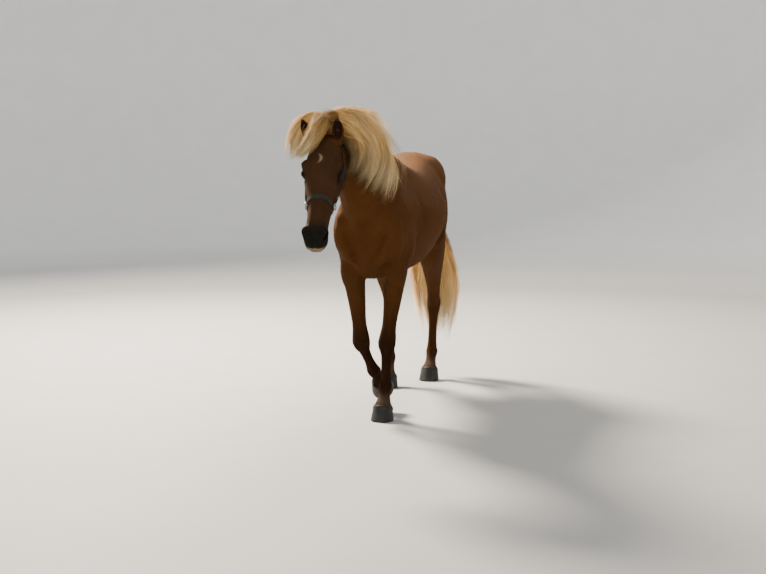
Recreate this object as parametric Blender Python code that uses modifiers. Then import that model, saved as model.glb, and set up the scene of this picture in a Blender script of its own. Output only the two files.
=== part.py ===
"""A life-size Icelandic horse in mid walk, as a still museum model.

Metres, +Z up. The horse faces -Y and its own left side is +X.
The flesh is modelled whole from lofts and muscles, then parted by thin cuts.
"""

import math
import random

import bmesh
import bpy
import numpy as np
from mathutils import Matrix, Vector
from mathutils.bvhtree import BVHTree

# Breed measures
WITHERS_HEIGHT = 1.385
BACK_HEIGHT = 1.29
CROUP_HEIGHT = 1.36
BODY_LENGTH = 1.43
CHEST_HALF_WIDTH = 0.20
BARREL_HALF_WIDTH = 0.275
HIP_HALF_WIDTH = 0.225
HEAD_LENGTH = 0.57
CORONET_HEIGHT = 0.068

# How the head is carried
POLL = Vector((-0.085, -1.11, 1.455))
FACE_SLOPE = math.radians(56)
HEAD_TURN = math.radians(5)
HEAD_ROLL = math.radians(-2)

# Clearances and mesh fineness
GAP = 0.0003
VOXEL = 0.008
FLESH_TRIANGLES = 4000
RING_POINTS = 28
RINGS_PER_SPAN = 4

# Where smoothing acts: least on the head and below a height on the legs, fully above another
SMOOTH_STEPS = 55
LEAST_SOFT = 0.12
HEAD_END = POLL.y + 0.07
SOFT_FROM = 0.55
SOFT_TO = 0.80

# Places on the trunk, along the horse
BREAST_Y = -BODY_LENGTH / 2
BUTTOCK_Y = BODY_LENGTH / 2
WITHERS_Y = -0.38

# The trunk from breast to buttock: y, top, bottom, and half widths high, in the middle and low
TRUNK = [
    (BREAST_Y + 0.015, 1.04, 0.88, 0.05, 0.06, 0.05),
    (BREAST_Y + 0.04, 1.11, 0.825, 0.11, 0.13, 0.09),
    (BREAST_Y + 0.10, 1.19, 0.76, 0.14, 0.175, 0.11),
    (-0.54, 1.29, 0.718, 0.135, CHEST_HALF_WIDTH, 0.15),
    (-0.45, 1.355, 0.715, 0.105, 0.205, 0.16),
    (WITHERS_Y, WITHERS_HEIGHT, 0.715, 0.095, 0.215, 0.17),
    (-0.28, 1.37, 0.71, 0.135, 0.235, 0.19),
    (-0.15, 1.32, 0.71, 0.20, 0.26, 0.22),
    (0.0, BACK_HEIGHT, 0.715, 0.24, BARREL_HALF_WIDTH, 0.24),
    (0.13, BACK_HEIGHT + 0.01, 0.73, 0.24, BARREL_HALF_WIDTH - 0.005, 0.235),
    (0.25, 1.325, 0.77, 0.225, 0.252, 0.20),
    (0.35, 1.35, 0.82, 0.21, HIP_HALF_WIDTH, 0.16),
    (0.45, CROUP_HEIGHT, 0.87, 0.19, 0.205, 0.13),
    (0.55, 1.33, 0.92, 0.155, 0.17, 0.11),
    (0.62, 1.285, 0.98, 0.11, 0.13, 0.09),
    (BUTTOCK_Y - 0.045, 1.225, 1.03, 0.06, 0.085, 0.06),
    (BUTTOCK_Y - 0.01, 1.16, 1.08, 0.025, 0.035, 0.025),
]

# The neck in slices: crest x, y and z, throat y and z, then half widths high, in the middle and low
NECK = [
    (0.00, -0.34, 1.35, -0.54, 0.88, 0.075, 0.17, 0.15),
    (0.00, -0.46, 1.375, -0.66, 0.93, 0.065, 0.155, 0.14),
    (-0.01, -0.58, 1.41, -0.745, 1.01, 0.055, 0.13, 0.12),
    (-0.025, -0.70, 1.45, -0.80, 1.09, 0.052, 0.108, 0.10),
    (-0.045, -0.82, 1.48, -0.855, 1.155, 0.050, 0.092, 0.085),
    (-0.065, -0.93, 1.485, -0.905, 1.21, 0.050, 0.084, 0.074),
    (-0.08, -1.02, 1.475, -0.945, 1.25, 0.048, 0.080, 0.066),
    (-0.085, -1.08, 1.455, -0.985, 1.27, 0.045, 0.072, 0.056),
]

# The head along its face line: distance from the poll, face, jaw, and half widths high, mid, low
SKULL = [
    (-0.02, -0.02, -0.15, 0.05, 0.065, 0.045),
    (0.03, 0.006, -0.20, 0.070, 0.078, 0.050),
    (0.09, 0.020, -0.245, 0.088, 0.084, 0.052),
    (0.15, 0.026, -0.262, 0.102, 0.087, 0.048),
    (0.21, 0.024, -0.252, 0.100, 0.083, 0.040),
    (0.27, 0.016, -0.228, 0.080, 0.076, 0.036),
    (0.33, 0.009, -0.198, 0.062, 0.066, 0.034),
    (0.39, 0.004, -0.168, 0.053, 0.057, 0.033),
    (0.45, 0.0, -0.146, 0.051, 0.053, 0.034),
    (0.50, -0.004, -0.134, 0.055, 0.058, 0.040),
    (0.54, -0.018, -0.127, 0.052, 0.056, 0.041),
    (HEAD_LENGTH, -0.050, -0.114, 0.032, 0.038, 0.030),
]

# Limb profiles: bone number, share along it, half width, reach in front, reach behind
FORELEG = [
    (0, -0.22, 0.070, 0.095, 0.105),
    (0, 0.00, 0.066, 0.085, 0.100),
    (0, 0.25, 0.058, 0.068, 0.070),
    (0, 0.50, 0.048, 0.054, 0.050),
    (0, 0.75, 0.040, 0.042, 0.041),
    (0, 0.90, 0.046, 0.043, 0.042),
    (1, 0.00, 0.050, 0.045, 0.046),
    (1, 0.14, 0.043, 0.037, 0.041),
    (1, 0.30, 0.031, 0.030, 0.037),
    (1, 0.60, 0.028, 0.028, 0.034),
    (1, 0.85, 0.031, 0.030, 0.037),
    (2, 0.00, 0.038, 0.035, 0.044),
    (2, 0.40, 0.033, 0.032, 0.036),
    (2, 0.75, 0.039, 0.038, 0.040),
    (2, 1.00, 0.047, 0.047, 0.047),
    (2, 1.25, 0.047, 0.047, 0.047),
]
HIND_LEG = [
    (0, -0.30, 0.085, 0.090, 0.17),
    (0, 0.00, 0.080, 0.085, 0.165),
    (0, 0.25, 0.067, 0.072, 0.120),
    (0, 0.50, 0.053, 0.055, 0.078),
    (0, 0.75, 0.041, 0.043, 0.056),
    (0, 0.90, 0.039, 0.044, 0.064),
    (1, 0.00, 0.044, 0.048, 0.062),
    (1, 0.14, 0.040, 0.042, 0.050),
    (1, 0.30, 0.031, 0.033, 0.040),
    (1, 0.60, 0.028, 0.030, 0.034),
    (1, 0.87, 0.031, 0.031, 0.037),
    (2, 0.00, 0.038, 0.035, 0.044),
    (2, 0.40, 0.033, 0.032, 0.036),
    (2, 0.75, 0.038, 0.037, 0.038),
    (2, 1.00, 0.046, 0.046, 0.045),
    (2, 1.25, 0.046, 0.046, 0.045),
]

# Each leg: profile, then elbow or stifle, knee or hock, fetlock and coronet, and the hoof's pitch
LEGS = {
    "foreleg_left": (
        FORELEG,
        [(0.115, -0.455, 0.80), (0.070, -0.49, 0.385), (0.066, -0.505, 0.17), (0.066, -0.562, CORONET_HEIGHT)],
        0,
    ),
    "foreleg_right": (
        FORELEG,
        [(-0.115, -0.475, 0.80), (-0.052, -0.545, 0.395), (-0.016, -0.425, 0.235), (0.010, -0.365, 0.165)],
        62,
    ),
    "hind_leg_left": (
        HIND_LEG,
        [(0.145, 0.37, 0.83), (0.100, 0.66, 0.47), (0.085, 0.685, 0.165), (0.082, 0.628, CORONET_HEIGHT)],
        0,
    ),
    "hind_leg_right": (
        HIND_LEG,
        [(-0.150, 0.29, 0.83), (-0.125, 0.50, 0.46), (-0.112, 0.405, 0.165), (-0.108, 0.348, CORONET_HEIGHT)],
        0,
    ),
}

# Muscles of the trunk: centre on the left side, half sizes, tilt about the side axis in degrees
MUSCLES = [
    ("shoulder_blade", (0.088, -0.50, 1.06), (0.078, 0.14, 0.22), -28),
    ("shoulder_point", (0.105, -0.60, 0.95), (0.080, 0.085, 0.15), 20),
    ("triceps", (0.125, -0.43, 0.91), (0.083, 0.15, 0.15), 25),
    ("breast", (0.070, -0.645, 0.90), (0.075, 0.050, 0.10), 0),
    ("forearm_top", (0.118, -0.49, 0.77), (0.060, 0.080, 0.12), 0),
    ("croup", (0.090, 0.42, 1.19), (0.120, 0.20, 0.15), 12),
    ("thigh", (0.106, 0.45, 1.00), (0.112, 0.18, 0.26), -18),
    ("stifle", (0.138, 0.34, 0.86), (0.072, 0.09, 0.14), 20),
]

# The hamstring on the rump: x, y, z, half width, reach in front and behind
HAMSTRING = [
    (0.070, 0.575, 1.19, 0.060, 0.07, 0.07),
    (0.085, 0.615, 1.06, 0.078, 0.09, 0.080),
    (0.100, 0.605, 0.93, 0.080, 0.10, 0.070),
]

# Its end on the second thigh: share from stifle to hock, shift back and up, then sizes as above
HAMSTRING_END = [
    (0.28, 0.055, 0.03, 0.060, 0.06, 0.050),
    (0.55, 0.025, 0.01, 0.040, 0.035, 0.035),
]

# Forms of the head: along the face, out of it, to the side, then half sizes the same way
HEAD_FORMS = [
    ("brow", (0.172, -0.018, 0.072), (0.044, 0.026, 0.027)),
    ("cheek", (0.115, -0.165, 0.050), (0.085, 0.082, 0.046)),
    ("face_crest", (0.255, -0.072, 0.066), (0.075, 0.014, 0.015)),
    ("nostril_wing", (0.512, -0.028, 0.038), (0.034, 0.028, 0.023)),
    ("chin", (0.520, -0.126, 0.010), (0.030, 0.018, 0.022)),
    ("upper_lip", (0.555, -0.058, 0.012), (0.022, 0.034, 0.034)),
    ("ear_root", (0.018, -0.024, 0.058), (0.034, 0.028, 0.026)),
]

# Features of the head, as along, out and side
EYE = (0.198, -0.040, 0.0765)
EYE_RADIUS = 0.0215
LID_HALVES = (0.031, 0.0255, 0.0245)
ALMOND_HALVES = (0.0205, 0.0118, 0.018)
ALMOND_SLANT = math.radians(-12)
ALMOND_OUT = 0.021
NOSTRIL = (0.520, -0.026, 0.052)
NOSTRIL_HALVES = (0.021, 0.0095, 0.017)
NOSTRIL_SLANT = math.radians(-28)
MOUTH_CORNER = (0.455, -0.098, 0.0006)
MOUTH_FRONT = (0.585, -0.094, 0.0022)
MOUTH_REACH = 0.08

# Ears: root on the head, then the way the tip lies from it
EARS = {
    "ear_left": ((0.030, -0.022, 0.062), Vector((0.000, -0.022, 0.112))),
    "ear_right": ((0.030, -0.022, -0.066), Vector((-0.030, -0.020, 0.108))),
}
EAR_PROFILE = [
    (0.0, 0.019, 0.019),
    (0.15, 0.023, 0.021),
    (0.40, 0.0285, 0.022),
    (0.65, 0.0245, 0.017),
    (0.85, 0.014, 0.010),
    (1.0, 0.003, 0.003),
]

# How far an ear turns outwards, and its cup: share of the way up, forward shift and half sizes
EAR_TURN = 0.30
CUP_SHARE = 0.56
CUP_FORWARD = 0.016
CUP_HALVES = (0.0205, 0.026, 0.046)

# Hooves in their own frame: half length, half width and forward shift at the coronet and sole
CORONET_SIZE = (0.050, 0.049)
SOLE_SIZE = (0.062, 0.059)
SOLE_SHIFT = 0.020
SOLE_BEVEL = 0.003
EDGE_SHARE = 0.94
HEEL_LENGTH = 0.86
CORONET_TILT = math.radians(16)
HOOF_POINTS = 16
SPACE_HALVES = (0.075, 0.10, 0.06)

# Where thin cuts part the flesh: centre, half sizes, and tilt about the side axis in degrees
CUTS = [
    ((0, -0.995, 1.365), (0.30, 0.20, GAP / 2), -63),
    ((0, -0.56, 1.19), (0.30, 0.33, GAP / 2), 54),
    ((0.115, -0.47, 0.69), (0.11, 0.15, GAP / 2), 0),
    ((-0.115, -0.49, 0.69), (0.11, 0.15, GAP / 2), 0),
    ((0.15, 0.47, 0.715), (0.13, 0.17, GAP / 2), 25),
    ((-0.15, 0.375, 0.70), (0.13, 0.15, GAP / 2), 22),
]
SEEDS = {
    "torso": (0, 0.05, 1.0),
    "neck": (-0.04, -0.8, 1.3),
    "head": (-0.09, -1.2, 1.25),
    "foreleg_left": (0.08, -0.48, 0.5),
    "foreleg_right": (-0.08, -0.5, 0.5),
    "hind_leg_left": (0.10, 0.6, 0.5),
    "hind_leg_right": (-0.11, 0.4, 0.5),
}

# Halter: its straps, and where its lines run on the head
STRAP_WIDTH = 0.022
STRAP_THICKNESS = 0.0028
STRAP_CLEARANCE = 0.0022
STRAP_SEARCH = 0.2
NOSEBAND_ALONG = 0.345
NOSEBAND_DROP = 0.015
THROAT_FROM = 0.02
THROAT_TO = 0.16
CHEEK_LINE = [
    (NOSEBAND_ALONG + 0.004, -0.085, 1.0, 0.0),
    (0.24, -0.10, 1.0, 0.0),
    (0.13, -0.105, 1.0, 0.0),
    (0.04, -0.085, 1.0, 0.15),
    (-0.020, -0.06, 0.75, 0.65),
    (-0.045, -0.055, 0.02, 1.0),
]
RING_PLACE = (NOSEBAND_ALONG - 0.002, -0.085, 0.0)
RING_CLEARANCE = 0.0025
RING_RADIUS = 0.015
RING_WIRE = 0.0028
RING_STEPS = 14
WIRE_SIDES = 5

# Hair: how deep it roots, and the number of steps along a lock
ROOT_DEPTH = 0.012
LOCK_STEPS = 5

# The mane runs from the withers to the poll, as shares of the neck
MANE_START = 0.08
MANE_END = 0.97
MANE_LOCKS = 27
MANE_WIDTH = (0.080, 0.110)
MANE_THICKNESS = (0.018, 0.028)
MANE_DRIFT = (-0.13, -0.02)
MANE_CORE_RINGS = 10
MANE_CORE_INSIDE = (-0.25, 0.3, 0.8, 1.15)
MANE_CORE_OUTSIDE = ((1.05, 0.035), (0.70, 0.060), (0.25, 0.060), (-0.20, 0.020))

# Along the mane: the angle that the tips reach about the neck, and the lift in the middle and at the tip
MANE_SHARES = (0.0, 0.15, 0.35, 0.6, 0.85, 1.0)
MANE_SIZES = (
    (1.35, 1.80, 2.30, 2.50, 2.45, 2.20),
    (0.050, 0.085, 0.125, 0.125, 0.105, 0.075),
    (0.020, 0.035, 0.070, 0.085, 0.070, 0.040),
)

# The forelock: its outermost and innermost lock on the head, root to tip
FORELOCK_LOCKS = 9
FORELOCK_WIDTH = (0.048, 0.066)
FORELOCK_THICKNESS = (0.012, 0.017)
FORELOCK_ROOT = (-0.005, 0.010, -0.005)
FORELOCK_CORE = (0.042, 0.036, 0.042)
FORELOCK_OUTER = (
    (-0.030, -0.010, -0.010),
    (-0.062, 0.045, -0.045),
    (-0.050, 0.050, -0.105),
    (0.010, 0.030, -0.150),
    (0.075, 0.000, -0.160),
    (0.125, -0.020, -0.150),
)
FORELOCK_INNER = (
    (0.010, -0.010, 0.025),
    (0.015, 0.045, 0.022),
    (0.050, 0.055, 0.000),
    (0.090, 0.048, -0.030),
    (0.125, 0.036, -0.060),
    (0.155, 0.022, -0.088),
)

# The tail: its locks, set round the dock by the golden turn, and the dock's half widths and depths
TAIL_LOCKS = 20
TAIL_STEPS = 4
TAIL_WIDTH = (0.060, 0.085)
TAIL_THICKNESS = (0.016, 0.023)
TAIL_SPREAD = (0.085, 0.145)
TAIL_FLATNESS = 0.42
TAIL_STARTS = (0.08, 0.30)
TAIL_STOPS = (0.74, 1.0)
GOLDEN_TURN = 0.382
TAIL_CORE_WIDTHS = (0.030, 0.040, 0.070, 0.085, 0.070, 0.012)
TAIL_CORE_DEPTHS = (0.024, 0.030, 0.036, 0.040, 0.034, 0.008)
TAIL_LINE = [
    (0.0, 0.655, 1.235),
    (0.005, 0.725, 1.215),
    (0.015, 0.775, 1.10),
    (0.030, 0.80, 0.90),
    (0.058, 0.815, 0.68),
    (0.098, 0.82, 0.46),
    (0.115, 0.82, 0.22),
]

# Colours: coat, hair and horn
COLOURS = {
    "coat": (0.26, 0.095, 0.035),
    "hair": (0.72, 0.56, 0.36),
    "horn": (0.05, 0.05, 0.055),
    "eye": (0.015, 0.010, 0.008),
    "webbing": (0.06, 0.10, 0.10),
    "steel": (0.55, 0.55, 0.55),
}
ROUGHNESS = {"coat": 0.65, "hair": 0.6, "horn": 0.45, "eye": 0.08, "webbing": 0.8, "steel": 0.3}


def refined(rows, per_span=RINGS_PER_SPAN):
    """The rows and the smooth steps between them, by a Catmull-Rom curve."""
    rows = np.array(rows, float)
    ends = np.vstack([2 * rows[0] - rows[1], rows, 2 * rows[-1] - rows[-2]])
    found = []
    for a, b, c, d in zip(ends, ends[1:], ends[2:], ends[3:]):
        for t in np.arange(per_span) / per_span:
            bend = (2 * a - 5 * b + 4 * c - d) * t**2 + (3 * b - a - 3 * c + d) * t**3
            found.append(0.5 * (2 * b + (c - a) * t + bend))
    return found + [rows[-1]]


def width_at(down, widths):
    """The half width at a share of the way down a slice, eased between its three widths."""
    high, middle, low = widths
    start, end = (high, middle) if down < 0.5 else (middle, low)
    share = min(max((down - 0.12) / 0.38 if down < 0.5 else (down - 0.5) / 0.38, 0), 1)
    return start + (end - start) * share * share * (3 - 2 * share)


def slice_ring(top, bottom, widths, side=Vector((1, 0, 0)), fullness=0.8):
    """A closed ring between two points, as wide as the three widths high, in the middle and low."""
    points = []
    for step in range(RING_POINTS):
        angle = 2 * math.pi * step / RING_POINTS
        down = (1 - math.cos(angle)) / 2
        out = math.copysign(abs(math.sin(angle)) ** fullness, math.sin(angle))
        points.append(top.lerp(bottom, down) + side * (width_at(down, widths) * out))
    return points


def kept(name, bm):
    """A new object that holds the bmesh as it is."""
    mesh = bpy.data.meshes.new(name)
    bm.to_mesh(mesh)
    bm.free()
    obj = bpy.data.objects.new(name, mesh)
    bpy.context.scene.collection.objects.link(obj)
    return obj


def finished(name, bm):
    """A new object that holds the bmesh in triangles, facing out."""
    bmesh.ops.recalc_face_normals(bm, faces=bm.faces)
    bmesh.ops.triangulate(bm, faces=bm.faces)
    return kept(name, bm)


def loft(name, rings):
    """A closed skin through rings of equal length."""
    bm = bmesh.new()
    rows = [[bm.verts.new(p) for p in ring] for ring in rings]
    count = len(rings[0])
    for row, following in zip(rows, rows[1:]):
        for i in range(count):
            j = (i + 1) % count
            bm.faces.new((row[i], row[j], following[j], following[i]))
    bm.faces.new(rows[0])
    bm.faces.new(rows[-1])
    return finished(name, bm)


def applied(obj):
    """The object with its modifiers made part of its mesh."""
    graph = bpy.context.evaluated_depsgraph_get()
    mesh = bpy.data.meshes.new_from_object(obj.evaluated_get(graph))
    obj.modifiers.clear()
    obj.data = mesh
    return obj


def cut(target, tool, operation="DIFFERENCE", solver="EXACT"):
    """The target cut by, or joined with, a tool that is used up."""
    modifier = target.modifiers.new("cut", "BOOLEAN")
    modifier.operation = operation
    modifier.solver = solver
    modifier.object = tool
    applied(target)
    bpy.data.objects.remove(tool)
    return target


def islands(bm):
    """The connected groups of faces of a bmesh."""
    seen, groups = set(), []
    for face in bm.faces:
        if face in seen:
            continue
        group, heap = [], [face]
        seen.add(face)
        while heap:
            current = heap.pop()
            group.append(current)
            for edge in current.edges:
                for other in edge.link_faces:
                    if other not in seen:
                        seen.add(other)
                        heap.append(other)
        groups.append(group)
    return groups


def parted(obj):
    """One object for each connected piece of the given one, largest first."""
    bm = bmesh.new()
    bm.from_mesh(obj.data)
    groups = islands(bm)
    for number, group in enumerate(groups):
        for face in group:
            face.material_index = number
    pieces = []
    for number in range(len(groups)):
        copy = bm.copy()
        others = [face for face in copy.faces if face.material_index != number]
        bmesh.ops.delete(copy, geom=others, context="FACES")
        for face in copy.faces:
            face.material_index = 0
        pieces.append((abs(copy.calc_volume()), -number, copy))
    bm.free()
    bpy.data.objects.remove(obj)
    pieces.sort(key=lambda piece: piece[:2], reverse=True)
    return [kept("piece", copy) for _, _, copy in pieces]


def largest(name, obj):
    """The largest closed surface of the object, under a name of its own."""
    pieces = parted(obj)
    for extra in pieces[1:]:
        bpy.data.objects.remove(extra)
    pieces[0].name = name
    pieces[0].data.name = name
    return pieces[0]


def tidied(obj):
    """The object in triangles, with near-equal corners merged as far as it stays one closed body."""
    for distance in (2e-5, 5e-6, 1e-6):
        for method in ("BEAUTY", "EAR_CLIP"):
            bm = bmesh.new()
            bm.from_mesh(obj.data)
            bmesh.ops.remove_doubles(bm, verts=bm.verts, dist=distance)
            bmesh.ops.dissolve_degenerate(bm, edges=bm.edges, dist=distance)
            bmesh.ops.triangulate(bm, faces=bm.faces, ngon_method=method)
            closed = all(edge.is_manifold for edge in bm.edges)
            if closed:
                bm.to_mesh(obj.data)
            bm.free()
            if closed:
                return obj
    return obj


def swollen(obj, by):
    """A copy of the object grown outwards by a small step."""
    copy = obj.copy()
    copy.data = obj.data.copy()
    bpy.context.scene.collection.objects.link(copy)
    grow = copy.modifiers.new("grow", "DISPLACE")
    grow.mid_level = 0
    grow.strength = by
    return applied(copy)


def cleared(target, other):
    """The target cut back from another object by the usual gap."""
    return cut(target, swollen(other, GAP), solver="MANIFOLD")


def fused(name, core, locks):
    """Core and locks as one closed surface."""
    group = bpy.data.collections.new(name + "_locks")
    bpy.context.scene.collection.children.link(group)
    for lock in locks:
        bpy.context.scene.collection.objects.unlink(lock)
        group.objects.link(lock)
    modifier = core.modifiers.new("fuse", "BOOLEAN")
    modifier.operation = "UNION"
    modifier.operand_type = "COLLECTION"
    modifier.solver = "MANIFOLD"
    modifier.collection = group
    applied(core)
    for lock in locks:
        bpy.data.objects.remove(lock)
    bpy.data.collections.remove(group)
    return largest(name, core)


def trunk():
    rings = []
    for y, top, bottom, high, middle, low in refined(TRUNK):
        rings.append(slice_ring(Vector((0, y, top)), Vector((0, y, bottom)), (high, middle, low)))
    return loft("trunk", rings)


def neck():
    rings = []
    for x, crest_y, crest_z, throat_y, throat_z, high, middle, low in refined(NECK):
        crest, throat = Vector((x, crest_y, crest_z)), Vector((x, throat_y, throat_z))
        rings.append(slice_ring(crest, throat, (high, middle, low), fullness=0.9))
    return loft("neck", rings)


def head_frame():
    """The head's own axes from the poll: along the face, out of the face, and to the left."""
    turn = Matrix.Rotation(HEAD_TURN, 3, "Z")
    along = turn @ Vector((0, -math.cos(FACE_SLOPE), -math.sin(FACE_SLOPE)))
    roll = Matrix.Rotation(HEAD_ROLL, 3, along)
    out = roll @ turn @ Vector((0, -math.sin(FACE_SLOPE), math.cos(FACE_SLOPE)))
    side = roll @ turn @ Vector((1, 0, 0))
    return Matrix((along, out, side)).transposed()


HEAD = head_frame()


def on_head(along, out, side=0.0):
    return POLL + HEAD @ Vector((along, out, side))


def skull():
    rings = []
    side = HEAD.col[2]
    for along, face, jaw, high, middle, low in refined(SKULL):
        rings.append(slice_ring(on_head(along, face), on_head(along, jaw), (high, middle, low), side, 0.7))
    return loft("skull", rings)


def tube(name, rows, sides=None, across=Vector((1, 0, 0)), per_span=RINGS_PER_SPAN):
    """A closed form along a line: rows of x, y, z, half width, reach in front and behind."""
    rows = refined(rows, per_span)
    centres = [Vector(row[:3]) for row in rows]
    rings = []
    for i, row in enumerate(rows):
        direction = (centres[min(i + 1, len(rows) - 1)] - centres[max(i - 1, 0)]).normalized()
        side = (across - direction * across.dot(direction)).normalized()
        forward = side.cross(direction)
        half, front, back = row[3:6]
        widths = (half * 0.95, half, half * 0.9)
        top, bottom = centres[i] + forward * front, centres[i] - forward * back
        ring = slice_ring(top, bottom, widths, side, 0.9)
        rings.append(ring if sides is None else ring[:: RING_POINTS // sides])
    return loft(name, rings)


def limb(name, profile, joints):
    """A leg along its bones."""
    joints = [Vector(j) for j in joints]
    rows = []
    for bone, share, half, front, back in profile:
        rows.append((*joints[bone].lerp(joints[bone + 1], share), half, front, back))
    return tube(name, rows)


def hamstring(name, joints, side):
    """The long muscle from the point of the buttock to the back of the second thigh."""
    stifle, hock = Vector(joints[0]), Vector(joints[1])
    rows = [(side * x, *rest) for x, *rest in HAMSTRING]
    for share, back, up, half, front, behind in HAMSTRING_END:
        rows.append((*(stifle.lerp(hock, share) + Vector((0, back, up))), half, front, behind))
    return tube(name, rows)


def ball(name, matrix, segments=(24, 14)):
    """A unit ball placed, turned and stretched by the matrix."""
    bm = bmesh.new()
    bmesh.ops.create_uvsphere(bm, u_segments=segments[0], v_segments=segments[1], radius=1)
    bmesh.ops.transform(bm, matrix=matrix, verts=bm.verts)
    return finished(name, bm)


def muscle(name, centre, sizes, tilt, side):
    place = Matrix.Translation(Vector((centre[0] * side, centre[1], centre[2])))
    turn = Matrix.Rotation(math.radians(tilt), 4, "X")
    return ball(name, place @ turn @ Matrix.Diagonal((*sizes, 1)))


def head_form(name, centre, sizes, side):
    place = Matrix.Translation(on_head(centre[0], centre[1], centre[2] * side))
    return ball(name, place @ HEAD.to_4x4() @ Matrix.Diagonal((*sizes, 1)))


def softness(point):
    """How far smoothing may melt the flesh together: fully on the trunk, little on head and feet."""
    if point.y < HEAD_END:
        return LEAST_SOFT
    share = min(max((point.z - SOFT_FROM) / (SOFT_TO - SOFT_FROM), 0), 1)
    return LEAST_SOFT + (1 - LEAST_SOFT) * share


def flesh():
    """The whole skin of the horse as one closed mesh of few triangles."""
    pieces = [trunk(), neck(), skull()]
    for name, (profile, joints, _) in LEGS.items():
        pieces.append(limb(name + "_core", profile, joints))
    pieces.append(hamstring("hamstring_left", LEGS["hind_leg_left"][1], 1))
    pieces.append(hamstring("hamstring_right", LEGS["hind_leg_right"][1], -1))
    for side in (1, -1):
        for name, centre, sizes, tilt in MUSCLES:
            pieces.append(muscle(name, centre, sizes, tilt, side))
        for name, centre, sizes in HEAD_FORMS:
            pieces.append(head_form(name, centre, sizes, side))
    bm = bmesh.new()
    for piece in pieces:
        bm.from_mesh(piece.data)
        bpy.data.objects.remove(piece)
    body = finished("flesh", bm)
    remesh = body.modifiers.new("fuse", "REMESH")
    remesh.mode = "VOXEL"
    remesh.voxel_size = VOXEL
    applied(body)
    group = body.vertex_groups.new(name="soft")
    for vertex in body.data.vertices:
        group.add([vertex.index], softness(vertex.co), "REPLACE")
    smooth = body.modifiers.new("melt", "SMOOTH")
    smooth.factor = 0.5
    smooth.iterations = SMOOTH_STEPS
    smooth.vertex_group = group.name
    applied(body)
    decimate = body.modifiers.new("thin_out", "DECIMATE")
    decimate.ratio = FLESH_TRIANGLES / (2 * len(body.data.polygons))
    decimate.use_collapse_triangulate = True
    return applied(body)


def box(name, centre, halves, turn):
    """A box about a centre, turned by a matrix."""
    bm = bmesh.new()
    bmesh.ops.create_cube(bm, size=2)
    place = Matrix.Translation(centre) @ turn.to_4x4() @ Matrix.Diagonal((*halves, 1))
    bmesh.ops.transform(bm, matrix=place, verts=bm.verts)
    return finished(name, bm)


def hoof_frame(coronet, pitch):
    """Axes of a hoof: side, forward and up, with the origin on the sole under the coronet."""
    turn = Matrix.Rotation(math.radians(pitch), 3, "X")
    axes = turn @ Matrix(((1, 0, 0), (0, -1, 0), (0, 0, 1))).transposed()
    return Vector(coronet) - axes.col[2] * CORONET_HEIGHT, axes


def hoof(name, coronet, pitch):
    """A horn hoof from the tilted coronet to a flat sole."""
    origin, axes = hoof_frame(coronet, pitch)
    rings = []
    for share, inset in ((0.0, 0), (0.35, 0), (EDGE_SHARE, 0), (1.0, SOLE_BEVEL)):
        grow = min(share / EDGE_SHARE, 1)
        length = CORONET_SIZE[0] + (SOLE_SIZE[0] - CORONET_SIZE[0]) * grow - inset
        width = CORONET_SIZE[1] + (SOLE_SIZE[1] - CORONET_SIZE[1]) * grow - inset
        ring = []
        for step in range(HOOF_POINTS):
            angle = 2 * math.pi * step / HOOF_POINTS
            ahead = math.cos(angle) * (HEEL_LENGTH if math.cos(angle) < -0.5 else 1.0)
            top = CORONET_HEIGHT + math.tan(CORONET_TILT) * ahead * CORONET_SIZE[0] - GAP
            forward = ahead * length + SOLE_SHIFT * grow
            ring.append(origin + axes @ Vector((math.sin(angle) * width, forward, top * (1 - share))))
        rings.append(ring)
    return loft(name, rings)


def hoof_space(name, coronet, pitch):
    """The block that ends the flesh at the coronet, level with the top of the hoof."""
    origin, axes = hoof_frame(coronet, pitch)
    turn = axes @ Matrix.Rotation(CORONET_TILT, 3, "X")
    centre = origin + axes.col[2] * CORONET_HEIGHT - turn.col[2] * SPACE_HALVES[2]
    return box(name, centre, SPACE_HALVES, turn)


def nostril(name, side):
    along, out, across = NOSTRIL
    place = Matrix.Translation(on_head(along, out, across * side))
    slant = Matrix.Rotation(NOSTRIL_SLANT, 4, "Z")
    return ball(name, place @ HEAD.to_4x4() @ slant @ Matrix.Diagonal((*NOSTRIL_HALVES, 1)), (12, 8))


def mouth():
    """A thin wedge between the lips, closing towards their corner."""
    bm = bmesh.new()
    corners = []
    for along, out, half in (MOUTH_CORNER, MOUTH_FRONT):
        for across in (-MOUTH_REACH, MOUTH_REACH):
            for lift in (-half, half):
                corners.append(bm.verts.new(on_head(along, out + lift, across)))
    bmesh.ops.convex_hull(bm, input=corners)
    return finished("mouth", bm)


def lids(name, side):
    """A low rim about the eye, open in an almond shape."""
    place = Matrix.Translation(on_head(EYE[0], EYE[1], EYE[2] * side))
    return ball(name, place @ HEAD.to_4x4() @ Matrix.Diagonal((*LID_HALVES, 1)), (16, 10))


def almond(name, side):
    """The opening between the lids, slanted along the head."""
    place = Matrix.Translation(on_head(EYE[0], EYE[1], (EYE[2] + ALMOND_OUT) * side))
    slant = Matrix.Rotation(ALMOND_SLANT, 4, "Z")
    return ball(name, place @ HEAD.to_4x4() @ slant @ Matrix.Diagonal((*ALMOND_HALVES, 1)), (12, 8))


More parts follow.
